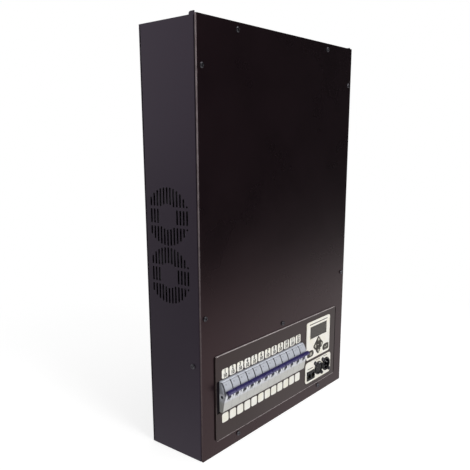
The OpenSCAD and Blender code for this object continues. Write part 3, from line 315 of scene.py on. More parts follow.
def breaker_plastic(name, cap, foot, seam_shade):
    """Housing plastic: cool caps, a pale waist, a yellowed foot, painted shade in its grooves,
    slots, pivot hole and crevices, and a painted highlight along the top of the caps.
    """
    finish = Finish(name)
    tree = finish.tree
    place, at = object_place(tree)
    skin = finish.effect(GRAIN, Grain_Scale=1500.0, Cloud_Scale=60.0)
    worn = finish.effect(WEAR, Radius=0.0004, Breakup=160.0, Amount=0.4)
    shade_in_crevices = finish.effect(CREVICE_SHADE, Reach=0.003, Amount=0.35)
    body = finish.mix(fade(tree, at["Z"], 76 * MM, 92 * MM), foot, cap)
    # The pale waist at the toggles' hubs
    waist = product(tree, fade(tree, at["Z"], 79 * MM, 84 * MM),
                    fade(tree, at["Z"], 95 * MM, 92 * MM))
    body = finish.mix(waist, body, (0.74, 0.75, 0.80))
    body = finish.mix(fade(tree, skin["Cloud"], 0.3, 0.7), body,
                      finish.mix(0.1, body, shade(foot, 0.6)))
    mottle = fade(tree, noise(tree, place, 420.0, 3.0, 0.7), 0.5, 0.72, 0.0, 0.35)
    lower = fade(tree, at["Z"], 88 * MM, 80 * MM)
    body = finish.mix(product(tree, mottle, lower), body, shade(foot, 0.72))
    body = finish.mix(worn["Mask"], body, shade(cap, 1.15))
    # Painted shade in the grooves between the caps, and a small round painted shade at each joint
    up = sum_of(tree, at["Z"], -PIVOT_Z)
    from_joint = put(tree, "ShaderNodeMath", {0: sum_of(tree, at["X"], -ROW_X), 1: PITCH / 2},
                     operation="PINGPONG").outputs[0]
    between = product(tree, fade(tree, at["X"], ROW_X + 4 * MM, ROW_X + 5 * MM),
                      fade(tree, at["X"], ROW_END - 4 * MM, ROW_END - 5 * MM))
    groove_shade = product(tree, fade(tree, from_joint, 1.12 * MM, 1.0 * MM),
                     fade(tree, at["Z"], 88.9 * MM, 89.4 * MM), between)
    body = finish.mix(product(tree, groove_shade, 0.92), body, seam_shade)
    # Painted shade down the first cap's left edge, where its side steps in
    out = sum_of(tree, COVER_Y + CAP_BACK, at["Y"], operation="SUBTRACT")
    over = sum_of(tree, at["Z"], -CAP_Z)
    from_arc = put(tree, "ShaderNodeMath",
                   {0: sum_of(tree, product(tree, out, out), product(tree, over, over))},
                   operation="SQRT").outputs[0]
    first_cap_shade = product(tree, fade(tree, at["X"], ROW_X + 1.2 * MM, ROW_X + 0.9 * MM),
                        fade(tree, from_arc, CAP_R - 2.7 * MM, CAP_R - 2.2 * MM),
                        fade(tree, at["Z"], 90.5 * MM, 91.5 * MM),
                        fade(tree, at["Z"], 112 * MM, 110 * MM))
    body = finish.mix(product(tree, first_cap_shade, 0.7), body, seam_shade)
    # Painted shade, near black, in the pivot hole in the end face and in the slots round the hubs
    ahead = sum_of(tree, PIVOT_Y, at["Y"], operation="SUBTRACT")
    from_pivot = sum_of(tree, product(tree, ahead, ahead), product(tree, up, up))
    hole = product(tree, fade(tree, from_pivot, (2.5 * MM) ** 2, (1.9 * MM) ** 2),
                   fade(tree, at["X"], ROW_X + 3.2 * MM, ROW_X + 2.8 * MM))
    hub_slot_shade = product(tree, fade(tree, from_joint, 4.8 * MM, 5.1 * MM),
                   fade(tree, at["Z"], 85.2 * MM, 86.0 * MM),
                   fade(tree, at["Z"], 93.4 * MM, 92.6 * MM))
    body = finish.mix(sum_of(tree, hole, hub_slot_shade, operation="MAXIMUM"), body, (0.006, 0.005, 0.018))
    # Painted highlight along the top of the caps, and the fine line under it
    top_highlight = fade(tree, at["Z"], 111.1 * MM, 111.4 * MM)
    body = finish.mix(top_highlight, body, shade(cap, 1.6))
    ticks = product(tree, fade(tree, at["Z"], 110.2 * MM, 110.4 * MM),
                    fade(tree, at["Z"], 111.2 * MM, 111.0 * MM))
    body = finish.mix(product(tree, ticks, 0.45), body, seam_shade)
    from_pin = sum_of(tree, product(tree, from_joint, from_joint), product(tree, up, up))
    joint_shade = fade(tree, from_pin, (1.9 * MM) ** 2, (1.1 * MM) ** 2)
    # Painted shade at each joint, level with the pivots
    body = finish.mix(product(tree, joint_shade, between, 0.6), body, seam_shade)
    # Painted shade in the crevices
    body = finish.mix(shade_in_crevices["Mask"], body, seam_shade)
    return finish.join(Base_Color=body,
                       Roughness=fade(tree, skin["Cloud"], 0.25, 0.75, 0.36, 0.46),
                       Normal=finish.bump(skin["Height"], 0.00003, worn["Normal"]))


def toggle_plastic(name, colour, hub_shade, lower_highlight, patch):
    """Blue toggle: a painted highlight along the lower edge of the handle, painted shade over the
    part round its pivot, with a pale patch low down.
    """
    finish = Finish(name)
    tree = finish.tree
    place, at = object_place(tree)
    skin = finish.effect(GRAIN, Grain_Scale=1600.0, Cloud_Scale=40.0)
    worn = finish.effect(WEAR, Radius=0.0004, Breakup=140.0, Amount=0.5)
    shade_in_crevices = finish.effect(CREVICE_SHADE, Reach=0.004, Amount=0.6)
    body = finish.clouded(skin["Cloud"], colour, 0.1)
    mottle = noise(tree, place, 300.0, 3.0, 0.7)
    body = finish.mix(fade(tree, mottle, 0.5, 0.68, 0.0, 0.35), body, shade(colour, 2.2))
    # Painted highlight along the lower edge of the handle, broken up by the mottle
    lit_lower_edge = product(tree, fade(tree, at["Z"], 98.7 * MM, 97.0 * MM),
                     fade(tree, mottle, 0.36, 0.6, 0.1, 0.75))
    body = finish.mix(lit_lower_edge, body, lower_highlight)
    body = finish.mix(worn["Mask"], body, shade(colour, 1.9))
    out = sum_of(tree, PIVOT_Y, at["Y"], operation="SUBTRACT")
    up = sum_of(tree, at["Z"], -PIVOT_Z)
    far = sum_of(tree, product(tree, out, out), product(tree, up, up))
    angle = put(tree, "ShaderNodeMath", {0: up, 1: out}, operation="ARCTAN2").outputs[0]
    printed = product(tree, fade(tree, far, (7.3 * MM) ** 2, (7.1 * MM) ** 2),
                      fade(tree, angle, math.radians(-31), math.radians(-35)),
                      fade(tree, angle, math.radians(-95), math.radians(-90)))
    # Painted shade over the part within 11 mm of the pivot, under the handle
    body = finish.mix(fade(tree, far, (11.8 * MM) ** 2, (11.0 * MM) ** 2), body, hub_shade)
    body = finish.mix(printed, body, patch)
    # Painted shade in the crevices
    body = finish.mix(shade_in_crevices["Mask"], body, shade(colour, 0.3))
    return finish.join(Base_Color=body,
                       Roughness=fade(tree, skin["Cloud"], 0.25, 0.75, 0.26, 0.36),
                       Normal=finish.bump(skin["Height"], 0.00002, worn["Normal"]))


def metal(name, colour, rough, lines=420.0, stretch=0.03, radius=0.0003, spangle=0.0):
    """Bare or plated metal: drawn lines, tarnish clouds and bright edges."""
    finish = Finish(name, Metallic=1.0)
    tree = finish.tree
    drawn = finish.effect(LINES, Scale=lines, Stretch=stretch)
    skin = finish.effect(GRAIN, Grain_Scale=260.0, Cloud_Scale=18.0)
    worn = finish.effect(WEAR, Radius=radius, Breakup=90.0, Amount=0.7)
    body = finish.mix(fade(tree, skin["Cloud"], 0.3, 0.72), shade(colour, 0.82), colour)
    if spangle:
        place = object_place(tree)[0]
        flake = put(tree, "ShaderNodeTexVoronoi", {"Vector": place, "Scale": 110.0})
        flake_shade = put(tree, "ShaderNodeSeparateColor",
                          {0: flake.outputs["Color"]}).outputs[0]
        body = finish.mix(product(tree, flake_shade, spangle), body, shade(colour, 0.6))
    body = finish.mix(product(tree, drawn["Streak"], 0.3), body, shade(colour, 0.7))
    body = finish.mix(worn["Mask"], body, shade(colour, 1.15))
    gloss = fade(tree, drawn["Streak"], 0.3, 0.7, rough - 0.07, rough + 0.08)
    return finish.join(Base_Color=body, Roughness=gloss,
                       Normal=finish.bump(drawn["Height"], 0.00002, worn["Normal"]))


def printed_plate(name, colour, rough, radius=0.0003):
    """Pale enamelled plate or film: faint yellowing, grime near the edges and small specks."""
    finish = Finish(name)
    tree = finish.tree
    skin = finish.effect(GRAIN, Grain_Scale=700.0, Cloud_Scale=60.0)
    worn = finish.effect(WEAR, Radius=radius, Breakup=220.0, Amount=0.6)
    aged = (colour[0] * 0.97, colour[1] * 0.95, colour[2] * 0.86)
    body = finish.mix(fade(tree, skin["Cloud"], 0.35, 0.75), colour, aged)
    body = finish.mix(product(tree, skin["Speck"], 0.1), body, shade(colour, 0.7))
    body = finish.mix(worn["Mask"], body, shade(colour, 0.72))
    gloss = fade(tree, skin["Cloud"], 0.3, 0.7, rough - 0.05, rough + 0.05)
    return finish.join(Base_Color=body, Roughness=gloss,
                       Normal=finish.bump(skin["Height"], 0.00002, worn["Normal"]))


def display_glass(name, cell_colour, border_colour):
    """Display window: the cell grid of a switched-off display, and its dark border."""
    finish = Finish(name, Coat_Roughness=0.05)
    tree = finish.tree
    at = object_place(tree)[1]
    low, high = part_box("display_window")
    border = 1.3 * MM
    cell = 0.5
    for axis, size in (("X", 3.1 * MM), ("Z", 5.2 * MM)):
        inside = put(tree, "ShaderNodeMath", {0: at[axis], 1: size / 2},
                     operation="PINGPONG").outputs[0]
        cell = product(tree, cell, fade(tree, inside, 0.1 * MM, 0.3 * MM))
    clear = 1.0
    for axis, near, far in (("X", low.x, high.x), ("Z", low.z, high.z)):
        clear = product(tree, clear, fade(tree, at[axis], near + 0.8 * border, near + border),
                        fade(tree, at[axis], far - 0.8 * border, far - border))
    skin = finish.effect(GRAIN, Grain_Scale=500.0, Cloud_Scale=30.0)
    body = finish.clouded(skin["Cloud"], cell_colour, 0.07)
    body = finish.mix(cell, body, shade(cell_colour, 0.88))
    body = finish.mix(clear, border_colour, body)
    return finish.join(Base_Color=body,
                       Roughness=fade(tree, skin["Cloud"], 0.3, 0.7, 0.16, 0.26),
                       Coat_Weight=fade(tree, skin["Cloud"], 0.2, 0.8, 0.02, 0.08))


def board(name, colour):
    """Circuit board: solder mask with rows of copper tracks that show through it."""
    finish = Finish(name)
    tree = finish.tree
    place = object_place(tree)[0]
    second, first = (
        put(tree, "ShaderNodeTexVoronoi", {"Vector": place, "Scale": 140.0},
            distance="MANHATTAN", feature=feature).outputs["Distance"]
        for feature in ("F2", "F1"))
    track = fade(tree, sum_of(tree, second, first, operation="SUBTRACT"), 0.12, 0.04)
    skin = finish.effect(GRAIN, Grain_Scale=800.0, Cloud_Scale=25.0)
    worn = finish.effect(WEAR, Radius=0.0002, Breakup=120.0, Amount=0.5)
    body = finish.clouded(skin["Cloud"], colour, 0.12)
    body = finish.mix(track, body, (colour[0] * 2.2, colour[1] * 1.9, colour[2] * 1.6))
    body = finish.mix(worn["Mask"], body, (0.25, 0.27, 0.16))
    return finish.join(Base_Color=body, Roughness=fade(tree, skin["Cloud"], 0.3, 0.7, 0.28, 0.4),
                       Normal=finish.bump(track, 0.00004, worn["Normal"]))


def winding(name, colour):
    """Enamelled wire wound on the choke cores, its turns fanned round each core's own centre."""
    finish = Finish(name, Specular_IOR_Level=0.6)
    tree = finish.tree
    low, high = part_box("chokes")
    at = object_place(tree)[1]
    from_centre = []
    for axis, near, far, count in (("X", low.x, high.x, 6), ("Z", low.z, high.z, 2)):
        size = 2 * CHOKE_R
        pitch = (far - near - size) / (count - 1)
        first = near + size / 2
        local = put(tree, "ShaderNodeMath",
                    {0: at[axis], 1: first - pitch / 2, 2: first + pitch / 2},
                    operation="WRAP").outputs[0]
        from_centre.append(sum_of(tree, local, -first))
    turn = put(tree, "ShaderNodeMath", {0: from_centre[1], 1: from_centre[0]},
               operation="ARCTAN2").outputs[0]
    wave = put(tree, "ShaderNodeMath", {0: product(tree, turn, 68.0)},
               operation="SINE").outputs[0]
    wire = fade(tree, wave, -0.9, 0.5)
    skin = finish.effect(GRAIN, Grain_Scale=600.0, Cloud_Scale=60.0)
    body = finish.clouded(skin["Cloud"], colour, 0.17)
    body = finish.mix(wire, shade(colour, 0.16), body)
    return finish.join(Base_Color=body, Roughness=fade(tree, skin["Cloud"], 0.3, 0.7, 0.28, 0.42),
                       Metallic=product(tree, wire, 0.5),
                       Normal=finish.bump(wire, 0.0007))


def striped(name, colour, axis, pitch, dark, rough, depth):
    """Parallel ridges at a fixed pitch: ribbon conductors or stacked laminations."""
    finish = Finish(name)
    tree = finish.tree
    at = object_place(tree)[1][axis]
    wave = put(tree, "ShaderNodeMath", {0: product(tree, at, 2 * math.pi / pitch)},
               operation="SINE").outputs[0]
    ridge = fade(tree, wave, -0.95, 0.2)
    skin = finish.effect(GRAIN, Grain_Scale=500.0, Cloud_Scale=40.0)
    worn = finish.effect(WEAR, Radius=0.0003, Breakup=100.0, Amount=0.5)
    body = finish.clouded(skin["Cloud"], colour, 0.11)
    body = finish.mix(ridge, shade(colour, dark), body)
    body = finish.mix(worn["Mask"], body, shade(colour, 1.5))
    return finish.join(Base_Color=body,
                       Roughness=fade(tree, skin["Cloud"], 0.3, 0.7, rough - 0.05, rough + 0.05),
                       Normal=finish.bump(ridge, depth, worn["Normal"]))


CHOKE_R = 27.06 * MM
FASCIA_HIGHLIGHT_W = 0.5 * MM
COVER_HIGHLIGHT_W = 0.35 * MM
FASCIA_SHADOW_X = 167.4 * MM
COVER_LOW, COVER_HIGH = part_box("front_cover")
BLACK = (0.0065, 0.0058, 0.0062)
IVORY = (0.885, 0.865, 0.80)

FINISHES = {
    # The case panels carry a lighter copy of the cover's black coat: painted light on the sides
    "case_paint": powder_coat("case_coat_painted_lighter", (0.0100, 0.0074, 0.0105),
                              (0.055, 0.052, 0.055), 0.34, (0.90, 0.70, 1.0)),
    # Painted highlight: a pale line along the cover's left and right edges, fading out towards the
    # bottom
    "cover_paint": powder_coat("cover_powder_coat", (0.0052, 0.0032, 0.0044),
                               (0.055, 0.046, 0.046), 0.28, (1.0, 0.50, 0.54),
                               painted_highlight_rim=("X", COVER_LOW.x + COVER_HIGHLIGHT_W, COVER_HIGH.x - COVER_HIGHLIGHT_W,
                                           (0.30, 0.265, 0.275)), highlight_heights=(-0.15, 0.62)),
    # Painted highlight along the fascia's top and bottom edges, and painted shadow along its right
    # edge
    "fascia_paint": powder_coat("fascia_enamel", (0.0195, 0.0160, 0.0145), (0.28, 0.25, 0.245),
                                0.31, (1.0, 0.64, 0.66), grain=1500.0, wear=0.7,
                                painted_highlight_rim=("Z", FASCIA_LOW + FASCIA_HIGHLIGHT_W, FASCIA_HIGH - FASCIA_HIGHLIGHT_W,
                                            (0.60, 0.545, 0.545)),
                                painted_shadow_x=FASCIA_SHADOW_X),
    "zinc_plate": metal("zinc_plated_steel", (0.62, 0.63, 0.65), 0.38, spangle=0.35),
    "black_screw": metal("blackened_screw_steel", (0.13, 0.125, 0.14), 0.36, lines=900.0),
    "label_film": printed_plate("ivory_label_film", (0.90, 0.885, 0.83), 0.5),
    "ivory_plate": printed_plate("ivory_enamel_plate", IVORY, 0.42),
    "clear_window": display_glass("display_pane", (0.038, 0.032, 0.024), (0.012, 0.010, 0.008)),
    "display_body": moulded("display_frame_plastic", (0.12, 0.14, 0.09), 0.5),
    "key_grey": moulded("key_rubber", (0.060, 0.054, 0.043), 0.55, grain=1100.0),
    "circuit_board": board("green_circuit_board", (0.015, 0.11, 0.045)),
    "black_plastic": moulded("black_moulded_plastic", BLACK, 0.4, level=0.28, pale=5.0),
    "breaker_grey": breaker_plastic("breaker_housing_plastic", (0.50, 0.52, 0.575),
                                    (0.56, 0.555, 0.53), (0.045, 0.045, 0.06)),
    "toggle_blue": toggle_plastic("toggle_blue_plastic", (0.023, 0.018, 0.088),
                                  (0.005, 0.004, 0.020), (0.17, 0.16, 0.29),
                                  (0.66, 0.66, 0.70)),
    "fan_plastic": moulded("fan_black_plastic", (0.014, 0.014, 0.016), 0.5, dust=0.3, pale=2.0),
    "bare_aluminium": metal("extruded_aluminium", (0.80, 0.81, 0.83), 0.36),
    "module_plastic": moulded("module_dark_plastic", (0.035, 0.035, 0.04), 0.45, pale=1.8),
    "choke_winding": winding("enamelled_copper_winding", (0.55, 0.20, 0.07)),
    "nylon": moulded("natural_nylon", (0.70, 0.69, 0.63), 0.5, dust=0.05, pale=1.08),
    "laminated_iron": striped("stacked_laminations", (0.13, 0.13, 0.145), "Z", 1.1 * MM, 0.45,
                              0.5, 0.2 * MM),
    "terminal_plastic": moulded("terminal_grey_plastic", (0.26, 0.26, 0.25), 0.5),
    "brass_bar": metal("drawn_brass", (0.75, 0.55, 0.24), 0.34),
    "ribbon_grey": striped("ribbon_conductors", (0.36, 0.36, 0.38), "X", 1.27 * MM, 0.55, 0.45,
                           0.3 * MM),
}
# Near-black dull coat for the row's blank: painted shade for the dark band beside the breakers
ROW_BLANK_SHADE = moulded("row_blank_painted_shade", (0.0045, 0.0022, 0.0045), 0.6, level=0.15, pale=2.0)
STEEL = metal("bright_steel", (0.66, 0.66, 0.68), 0.3)
GOLD = metal("gilded_contact", (0.83, 0.64, 0.30), 0.28)
DULL_CONTACT = metal("dull_contact", (0.26, 0.22, 0.19), 0.4)
INK = moulded("printing_ink", (0.022, 0.020, 0.020), 0.55, depth=0.00001, dust=0.0, pale=1.2,
              crevice_shade=0)
IVORY_INK = moulded("ivory_printing_ink", (0.80, 0.78, 0.66), 0.5, depth=0.00001, dust=0.0,
                    pale=1.05, crevice_shade=0)
GREY_INK = moulded("grey_printing_ink", (0.20, 0.205, 0.24), 0.5, depth=0.00001, dust=0.0,
                   pale=1.1, crevice_shade=0)

for part in frame["record"]["subparts"]:
    node = frame["nodes"][part["node"]]
    node.data.materials.clear()
    node.data.materials.append(FINISHES[part["material_slot"]])
frame["nodes"]["through_latch"].data.materials[0] = STEEL
frame["nodes"]["row_blank"].data.materials[0] = ROW_BLANK_SHADE


# New pieces

def settle(name, body, into, material):
    """Makes an object of a finished bmesh and lets it ride on its body."""
    bmesh.ops.remove_doubles(into, verts=into.verts, dist=1e-7)
    mesh = bpy.data.meshes.new(name)
    into.to_mesh(mesh)
    into.free()
    mesh.materials.append(material)
    piece = bpy.data.objects.new(name, mesh)
    bpy.context.scene.collection.objects.link(piece)
    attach(piece, body)
    return piece


def add_shape(into, shape, *moves):
    """Joins one shape to a piece's bmesh, moved by the matrices in turn."""
    for move in moves:
        bmesh.ops.transform(shape, matrix=move, verts=shape.verts)
    flat = bpy.data.meshes.new("shape")
    shape.to_mesh(flat)
    shape.free()
    into.from_mesh(flat)
    bpy.data.meshes.remove(flat)


def move_to(x, y, z):
    return Matrix.Translation((x, y, z))


FACING_FRONT = Matrix.Rotation(math.pi / 2, 4, "X")


def add_print(into, text, x, z, y, height, depth=0.05 * MM, bold=0.0, bend=None):
    """Adds raised print that reads from the front, centred on (x, z) and standing on depth y.

    bend gives the depth at a height, where the print follows a curved face.
    """
    curve = bpy.data.curves.new("print", "FONT")
    curve.body = text
    curve.size = height / 0.7
    curve.align_x = "CENTER"
    curve.align_y = "CENTER"
    curve.extrude = depth / 2
    curve.offset = bold
    curve.resolution_u = 3
    holder = bpy.data.objects.new("print", curve)
    bpy.context.scene.collection.objects.link(holder)
    bpy.context.view_layer.update()
    flat = bpy.data.meshes.new_from_object(
        holder.evaluated_get(bpy.context.evaluated_depsgraph_get()))
    flat.transform(move_to(x, y - depth / 2, z) @ FACING_FRONT)
    if bend:
        for corner in flat.vertices:
            corner.co.y += bend(corner.co.z)
    into.from_mesh(flat)
    bpy.data.objects.remove(holder)
    bpy.data.curves.remove(curve)
    bpy.data.meshes.remove(flat)


def upright_edges(shape, depth):
    """Edges that run from front to back."""
    return [e for e in shape.edges if abs(e.verts[0].co.y - e.verts[1].co.y) > depth / 2]


def slab(width, height, depth, corner=0.0, inner_corner=None):
    """Thin block about the origin, its edges from front to back rounded.

    inner_corner is the radius of the two corners on the +X side, where it differs.
    """
    shape = bmesh.new()
    made = bmesh.ops.create_cube(shape, size=1.0)["verts"]
    bmesh.ops.scale(shape, verts=made, vec=(width, depth, height))
    sides = ((1, corner if inner_corner is None else inner_corner), (-1, corner))
    for side, radius in sides:
        if radius:
            edges = [e for e in upright_edges(shape, depth)
                     if e.verts[0].co.x * side > width / 2 * 0.999]
            bmesh.ops.bevel(shape, geom=edges, offset=radius, affect="EDGES", segments=5,
                            profile=0.5, material=-1)
    return shape


def hollow_out(shape, border):
    """Cuts the middle out of a slab and leaves a border of even width."""
    faces = [f for f in shape.faces if abs(f.normal.y) > 0.9]
    bmesh.ops.inset_individual(shape, faces=faces, thickness=border, use_even_offset=True)
    loops = [e for f in faces for e in f.edges]
    bmesh.ops.delete(shape, geom=faces, context="FACES_ONLY")
    bmesh.ops.bridge_loops(shape, edges=loops)
    bmesh.ops.recalc_face_normals(shape, faces=shape.faces)
    return shape


def round_bar(radius, length, ease, segments=20):
    """Round bar along Y from the origin backwards, its front edge eased to a dome."""
    shape = bmesh.new()
    bmesh.ops.create_cone(shape, cap_ends=True, segments=segments, radius1=radius, radius2=radius,
                          depth=length, matrix=FACING_FRONT)
    front = [e for e in shape.edges
             if all(v.co.y < -length / 2 * 0.999 for v in e.verts)]
    bmesh.ops.bevel(shape, geom=front, offset=ease, affect="EDGES", segments=3, profile=0.5,
                    material=-1)
    bmesh.ops.translate(shape, verts=shape.verts, vec=(0, length / 2, 0))
    return shape


def sleeve(outer, wall, length, segments=24):
    """Thin round tube along Y from the origin backwards."""
    shape = bmesh.new()
    bmesh.ops.create_cone(shape, segments=segments, radius1=outer, radius2=outer, depth=length,
                          matrix=FACING_FRONT)
    bmesh.ops.recalc_face_normals(shape, faces=shape.faces)
    bmesh.ops.solidify(shape, geom=shape.faces, thickness=wall)
    bmesh.ops.translate(shape, verts=shape.verts, vec=(0, length / 2, 0))
    return shape


def label_numbers():
    """Channel number and breaker rating on each upper label."""
    low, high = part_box("upper_channel_labels")
    label_w = 14.5 * MM
    pitch = (high.x - low.x - label_w) / 11
    print_mesh = bmesh.new()
    for channel in range(12):
        x = low.x + label_w / 2 + channel * pitch
        middle = (low.z + high.z) / 2
        add_print(print_mesh, str(channel + 1), x, middle + 3.4 * MM, low.y, 5.6 * MM,
                  bold=0.42 * MM)
        add_print(print_mesh, "10", x, middle - 3.4 * MM, low.y, 5.6 * MM, bold=0.42 * MM)
    settle("label_numbers", "case", print_mesh, INK)


def breaker_marks():
    """Rating and a break-contact sign on each breaker's cap, which curves away upwards."""
    def cap_y(z):
        return COVER_Y + CAP_BACK - math.sqrt(CAP_R ** 2 - (z - CAP_Z) ** 2)

    marks = bmesh.new()
    for channel in range(12):
        x = ROW_X + (channel + 0.5) * PITCH
        add_print(marks, "10", x - 3.4 * MM, 107.2 * MM, 0, 2.1 * MM, bold=0.06 * MM, bend=cap_y)
        for dx, dz, height, turn in ((2.6, 2.1, 1.6, 0), (2.1, 0.4, 2.2, -24), (2.6, -1.5, 1.6, 0)):
            line = slab(0.35 * MM, height * MM, 0.05 * MM)
            z = (106.9 + dz) * MM
            add_shape(marks, line, Matrix.Rotation(math.radians(turn), 4, "Y"),
                      move_to(x + dx * MM, cap_y(z) - 0.02 * MM, z))
    settle("breaker_marks", "case", marks, GREY_INK)


def key_outline(name, depth, grow):
    """Slab with the outline of a key's cap, grown by a margin, standing in its place."""
    low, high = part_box(name)
    middle = (low + high) / 2
    if name in ("key_menu", "key_enter"):
        width, height = 19 * MM + 2 * grow, 10 * MM + 2 * grow
        shape = slab(width, height, depth, 1.6 * MM + grow, height / 2 * 0.998)
        turn = Matrix.Rotation(math.pi if name == "key_enter" else 0.0, 4, "Y")
    else:
        side = 10.2 * MM + 2 * grow
        shape = slab(side, side, depth, 1.4 * MM + grow)
        turn = Matrix.Rotation(math.pi / 4, 4, "Y")
    return shape, turn, middle


KEYS = ("key_up", "key_down", "key_left", "key_right", "key_menu", "key_enter")


def key_borders():
    """Dark printed borders round the keys, which meet between the keys of the diamond."""
    border, gap, depth = 0.68 * MM, 0.3 * MM, 0.04 * MM
    rings = bmesh.new()
    for name in KEYS:
        shape, turn, middle = key_outline(name, depth, gap + border)
        add_shape(rings, hollow_out(shape, border), turn,
                  move_to(middle.x, PLATE_Y - depth / 2, middle.z))
    settle("key_borders", "case", rings, INK)


def arrow_head(side, depth, border):
    """Hollow triangle that points up."""
    shape = bmesh.new()
    bmesh.ops.create_cone(shape, cap_ends=True, segments=3, radius1=side, radius2=side,
                          depth=depth, matrix=FACING_FRONT)
    tip = max(shape.verts, key=lambda v: v.co.z)
    if abs(tip.co.x) > side / 4:
        raise ValueError("the arrow head's first corner isn't at the top")
    return hollow_out(shape, border)


def key_signs():
    """Ivory signs on the keys: arrow heads near the diamond's corners, bars and a hooked arrow."""
    depth = 0.06 * MM
    for name, turn, dx, dz in (("key_up", 0, 0, 1.7), ("key_right", 90, 1.7, 0),
                               ("key_down", 180, 0, -1.7), ("key_left", 270, -1.7, 0)):
        low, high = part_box(name)
        middle = (low + high) / 2
        sign = bmesh.new()
        add_shape(sign, arrow_head(3.3 * MM, depth, 0.95 * MM),
                  Matrix.Rotation(math.radians(turn), 4, "Y"),
                  move_to(middle.x + dx * MM, low.y - depth / 2, middle.z + dz * MM))
        settle(name + "_sign", name, sign, IVORY_INK)
    signs = {
        "key_menu": ((0, 1.9, 6.4, 0.8), (0, 0, 6.4, 0.8), (0, -1.9, 6.4, 0.8)),
        "key_enter": ((3.2, 1.4, 0.8, 3.6), (0.4, 0, 6.0, 0.8)),
    }
    for name, bars in signs.items():
        low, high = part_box(name)
        middle = (low + high) / 2
        sign = bmesh.new()
        for dx, dz, width, height in bars:
            add_shape(sign, slab(width * MM, height * MM, depth, 0.15 * MM),
                      move_to(middle.x + dx * MM, low.y - depth / 2, middle.z + dz * MM))
        if name == "key_enter":
            add_shape(sign, arrow_head(2.0 * MM, depth, 0.6 * MM),
                      Matrix.Rotation(-math.pi / 2, 4, "Y"),
                      move_to(middle.x - 3.2 * MM, low.y - depth / 2, middle.z))
        settle(name + "_sign", name, sign, IVORY_INK)


def printed_rules():
    """Plain thin rules where the plates carry print: over the display, the jack and the sockets."""
    depth = 0.04 * MM
    rules = bmesh.new()
    for x, z, width, height in ((108.8, 136.6, 60, 1.5), (84.0, 55.6, 17, 1.3),
                                (109.5, 66.0, 13, 0.8), (134.5, 66.0, 13, 0.8)):
        add_shape(rules, slab(width * MM, height * MM, depth, 0.25 * MM),
                  move_to(x * MM, PLATE_Y - depth / 2, z * MM))
    settle("printed_rules", "case", rules, INK)


INPUT_AT, THROUGH_AT = (137.0, 49.3), (111.0, 49.3)
CONTACT_ANGLES = [math.radians(-90 + 72 * (k + 0.5)) for k in range(5)]


def round_socket_contacts():
    """Domed pins and the metal shell of the input socket, and the through socket's sleeves."""
    pins, shell, sleeves = bmesh.new(), bmesh.new(), bmesh.new()
    circle_r = 5.4
    for angle in CONTACT_ANGLES:
        dx, dz = circle_r * math.cos(angle), circle_r * math.sin(angle)
        add_shape(pins, round_bar(1.05 * MM, 11.7 * MM, 0.8 * MM),
                  move_to((INPUT_AT[0] + dx) * MM, COVER_Y - 2.9 * MM, (INPUT_AT[1] + dz) * MM))
        add_shape(sleeves, sleeve(1.17 * MM, 0.25 * MM, 6 * MM),
                  move_to((THROUGH_AT[0] + dx) * MM, COVER_Y - 4.35 * MM,
                          (THROUGH_AT[1] + dz) * MM))
    add_shape(shell, sleeve(9.7 * MM, 0.35 * MM, 6.5 * MM, 64),
              move_to(INPUT_AT[0] * MM, COVER_Y - 4.6 * MM, INPUT_AT[1] * MM))
    settle("input_pins", "case", pins, STEEL)
    settle("input_shell", "case", shell, FINISHES["black_screw"])
    settle("through_sleeves", "case", sleeves, DULL_CONTACT)


def jack_contacts():
    """Eight sprung wires in each port of the double jack, rising towards the back."""
    wires = bmesh.new()
    low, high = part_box("data_jack")
    for port in (0.25, 0.75):
        middle = low.x + port * (high.x - low.x)
        for k in range(8):
            wire = slab(0.4 * MM, 0.35 * MM, 8 * MM)
            add_shape(wires, wire, Matrix.Rotation(math.radians(24), 4, "X"),
                      move_to(middle + (k - 3.5) * 1.02 * MM, COVER_Y + 1.4 * MM, 40.9 * MM))
    settle("jack_contacts", "case", wires, GOLD)


def screw_slot_shades():
    """Painted shade of the cross slots in the heads of the socket screws: thin dark marks on the
    heads.
    """
    slots = bmesh.new()
    depth = 0.04 * MM
    head_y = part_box("socket_screws")[0].y
    for at in (INPUT_AT, THROUGH_AT):
        for side in (-1, 1):
            for turn in (20, 110):
                add_shape(slots, slab(3.0 * MM, 0.6 * MM, depth, 0.2 * MM),
                          Matrix.Rotation(math.radians(turn), 4, "Y"),
                          move_to((at[0] + side * 11.5) * MM, head_y - depth / 2,
                                  (at[1] - side * 12) * MM))
    settle("screw_slot_shades", "case", slots, FINISHES["black_plastic"])


label_numbers()
breaker_marks()
key_borders()
key_signs()
printed_rules()
round_socket_contacts()
jack_contacts()
screw_slot_shades()


# Studio

def studio_world():
    """White room to the camera. Reflections show its white backdrop behind the object and the dark
    room in front of it, and the soft light from all round is plain."""
    world = bpy.data.worlds.new("studio")
    bpy.context.scene.world = world
    world.use_nodes = True
    tree = world.node_tree
    tree.nodes.clear()
    path = put(tree, "ShaderNodeLightPath").outputs
    seen = sum_of(tree, path["Is Camera Ray"], path["Is Transmission Ray"], operation="MAXIMUM")
    direction = put(tree, "ShaderNodeTexCoord").outputs["Generated"]
    at = put(tree, "ShaderNodeSeparateXYZ", {0: direction}).outputs
    behind = fade(tree, at["Y"], -0.25, 0.3, 0.03, 0.95)
    mirrored = product(tree, behind, fade(tree, at["Z"], 0.35, 0.9, 1.0, 0.5))
    level = put(tree, "ShaderNodeMix", {0: path["Is Glossy Ray"], 2: 0.26, 3: mirrored}).outputs[0]
    room = put(tree, "ShaderNodeBackground", {"Color": (1.0, 1.0, 1.0, 1.0), "Strength": level})
    backdrop = put(tree, "ShaderNodeBackground", {"Color": (1.0, 1.0, 1.0, 1.0), "Strength": 1.0})
    mixed = put(tree, "ShaderNodeMixShader",
                {0: seen, 1: room.outputs[0], 2: backdrop.outputs[0]})
    out = put(tree, "ShaderNodeOutputWorld")
    tree.links.new(mixed.outputs[0], out.inputs["Surface"])


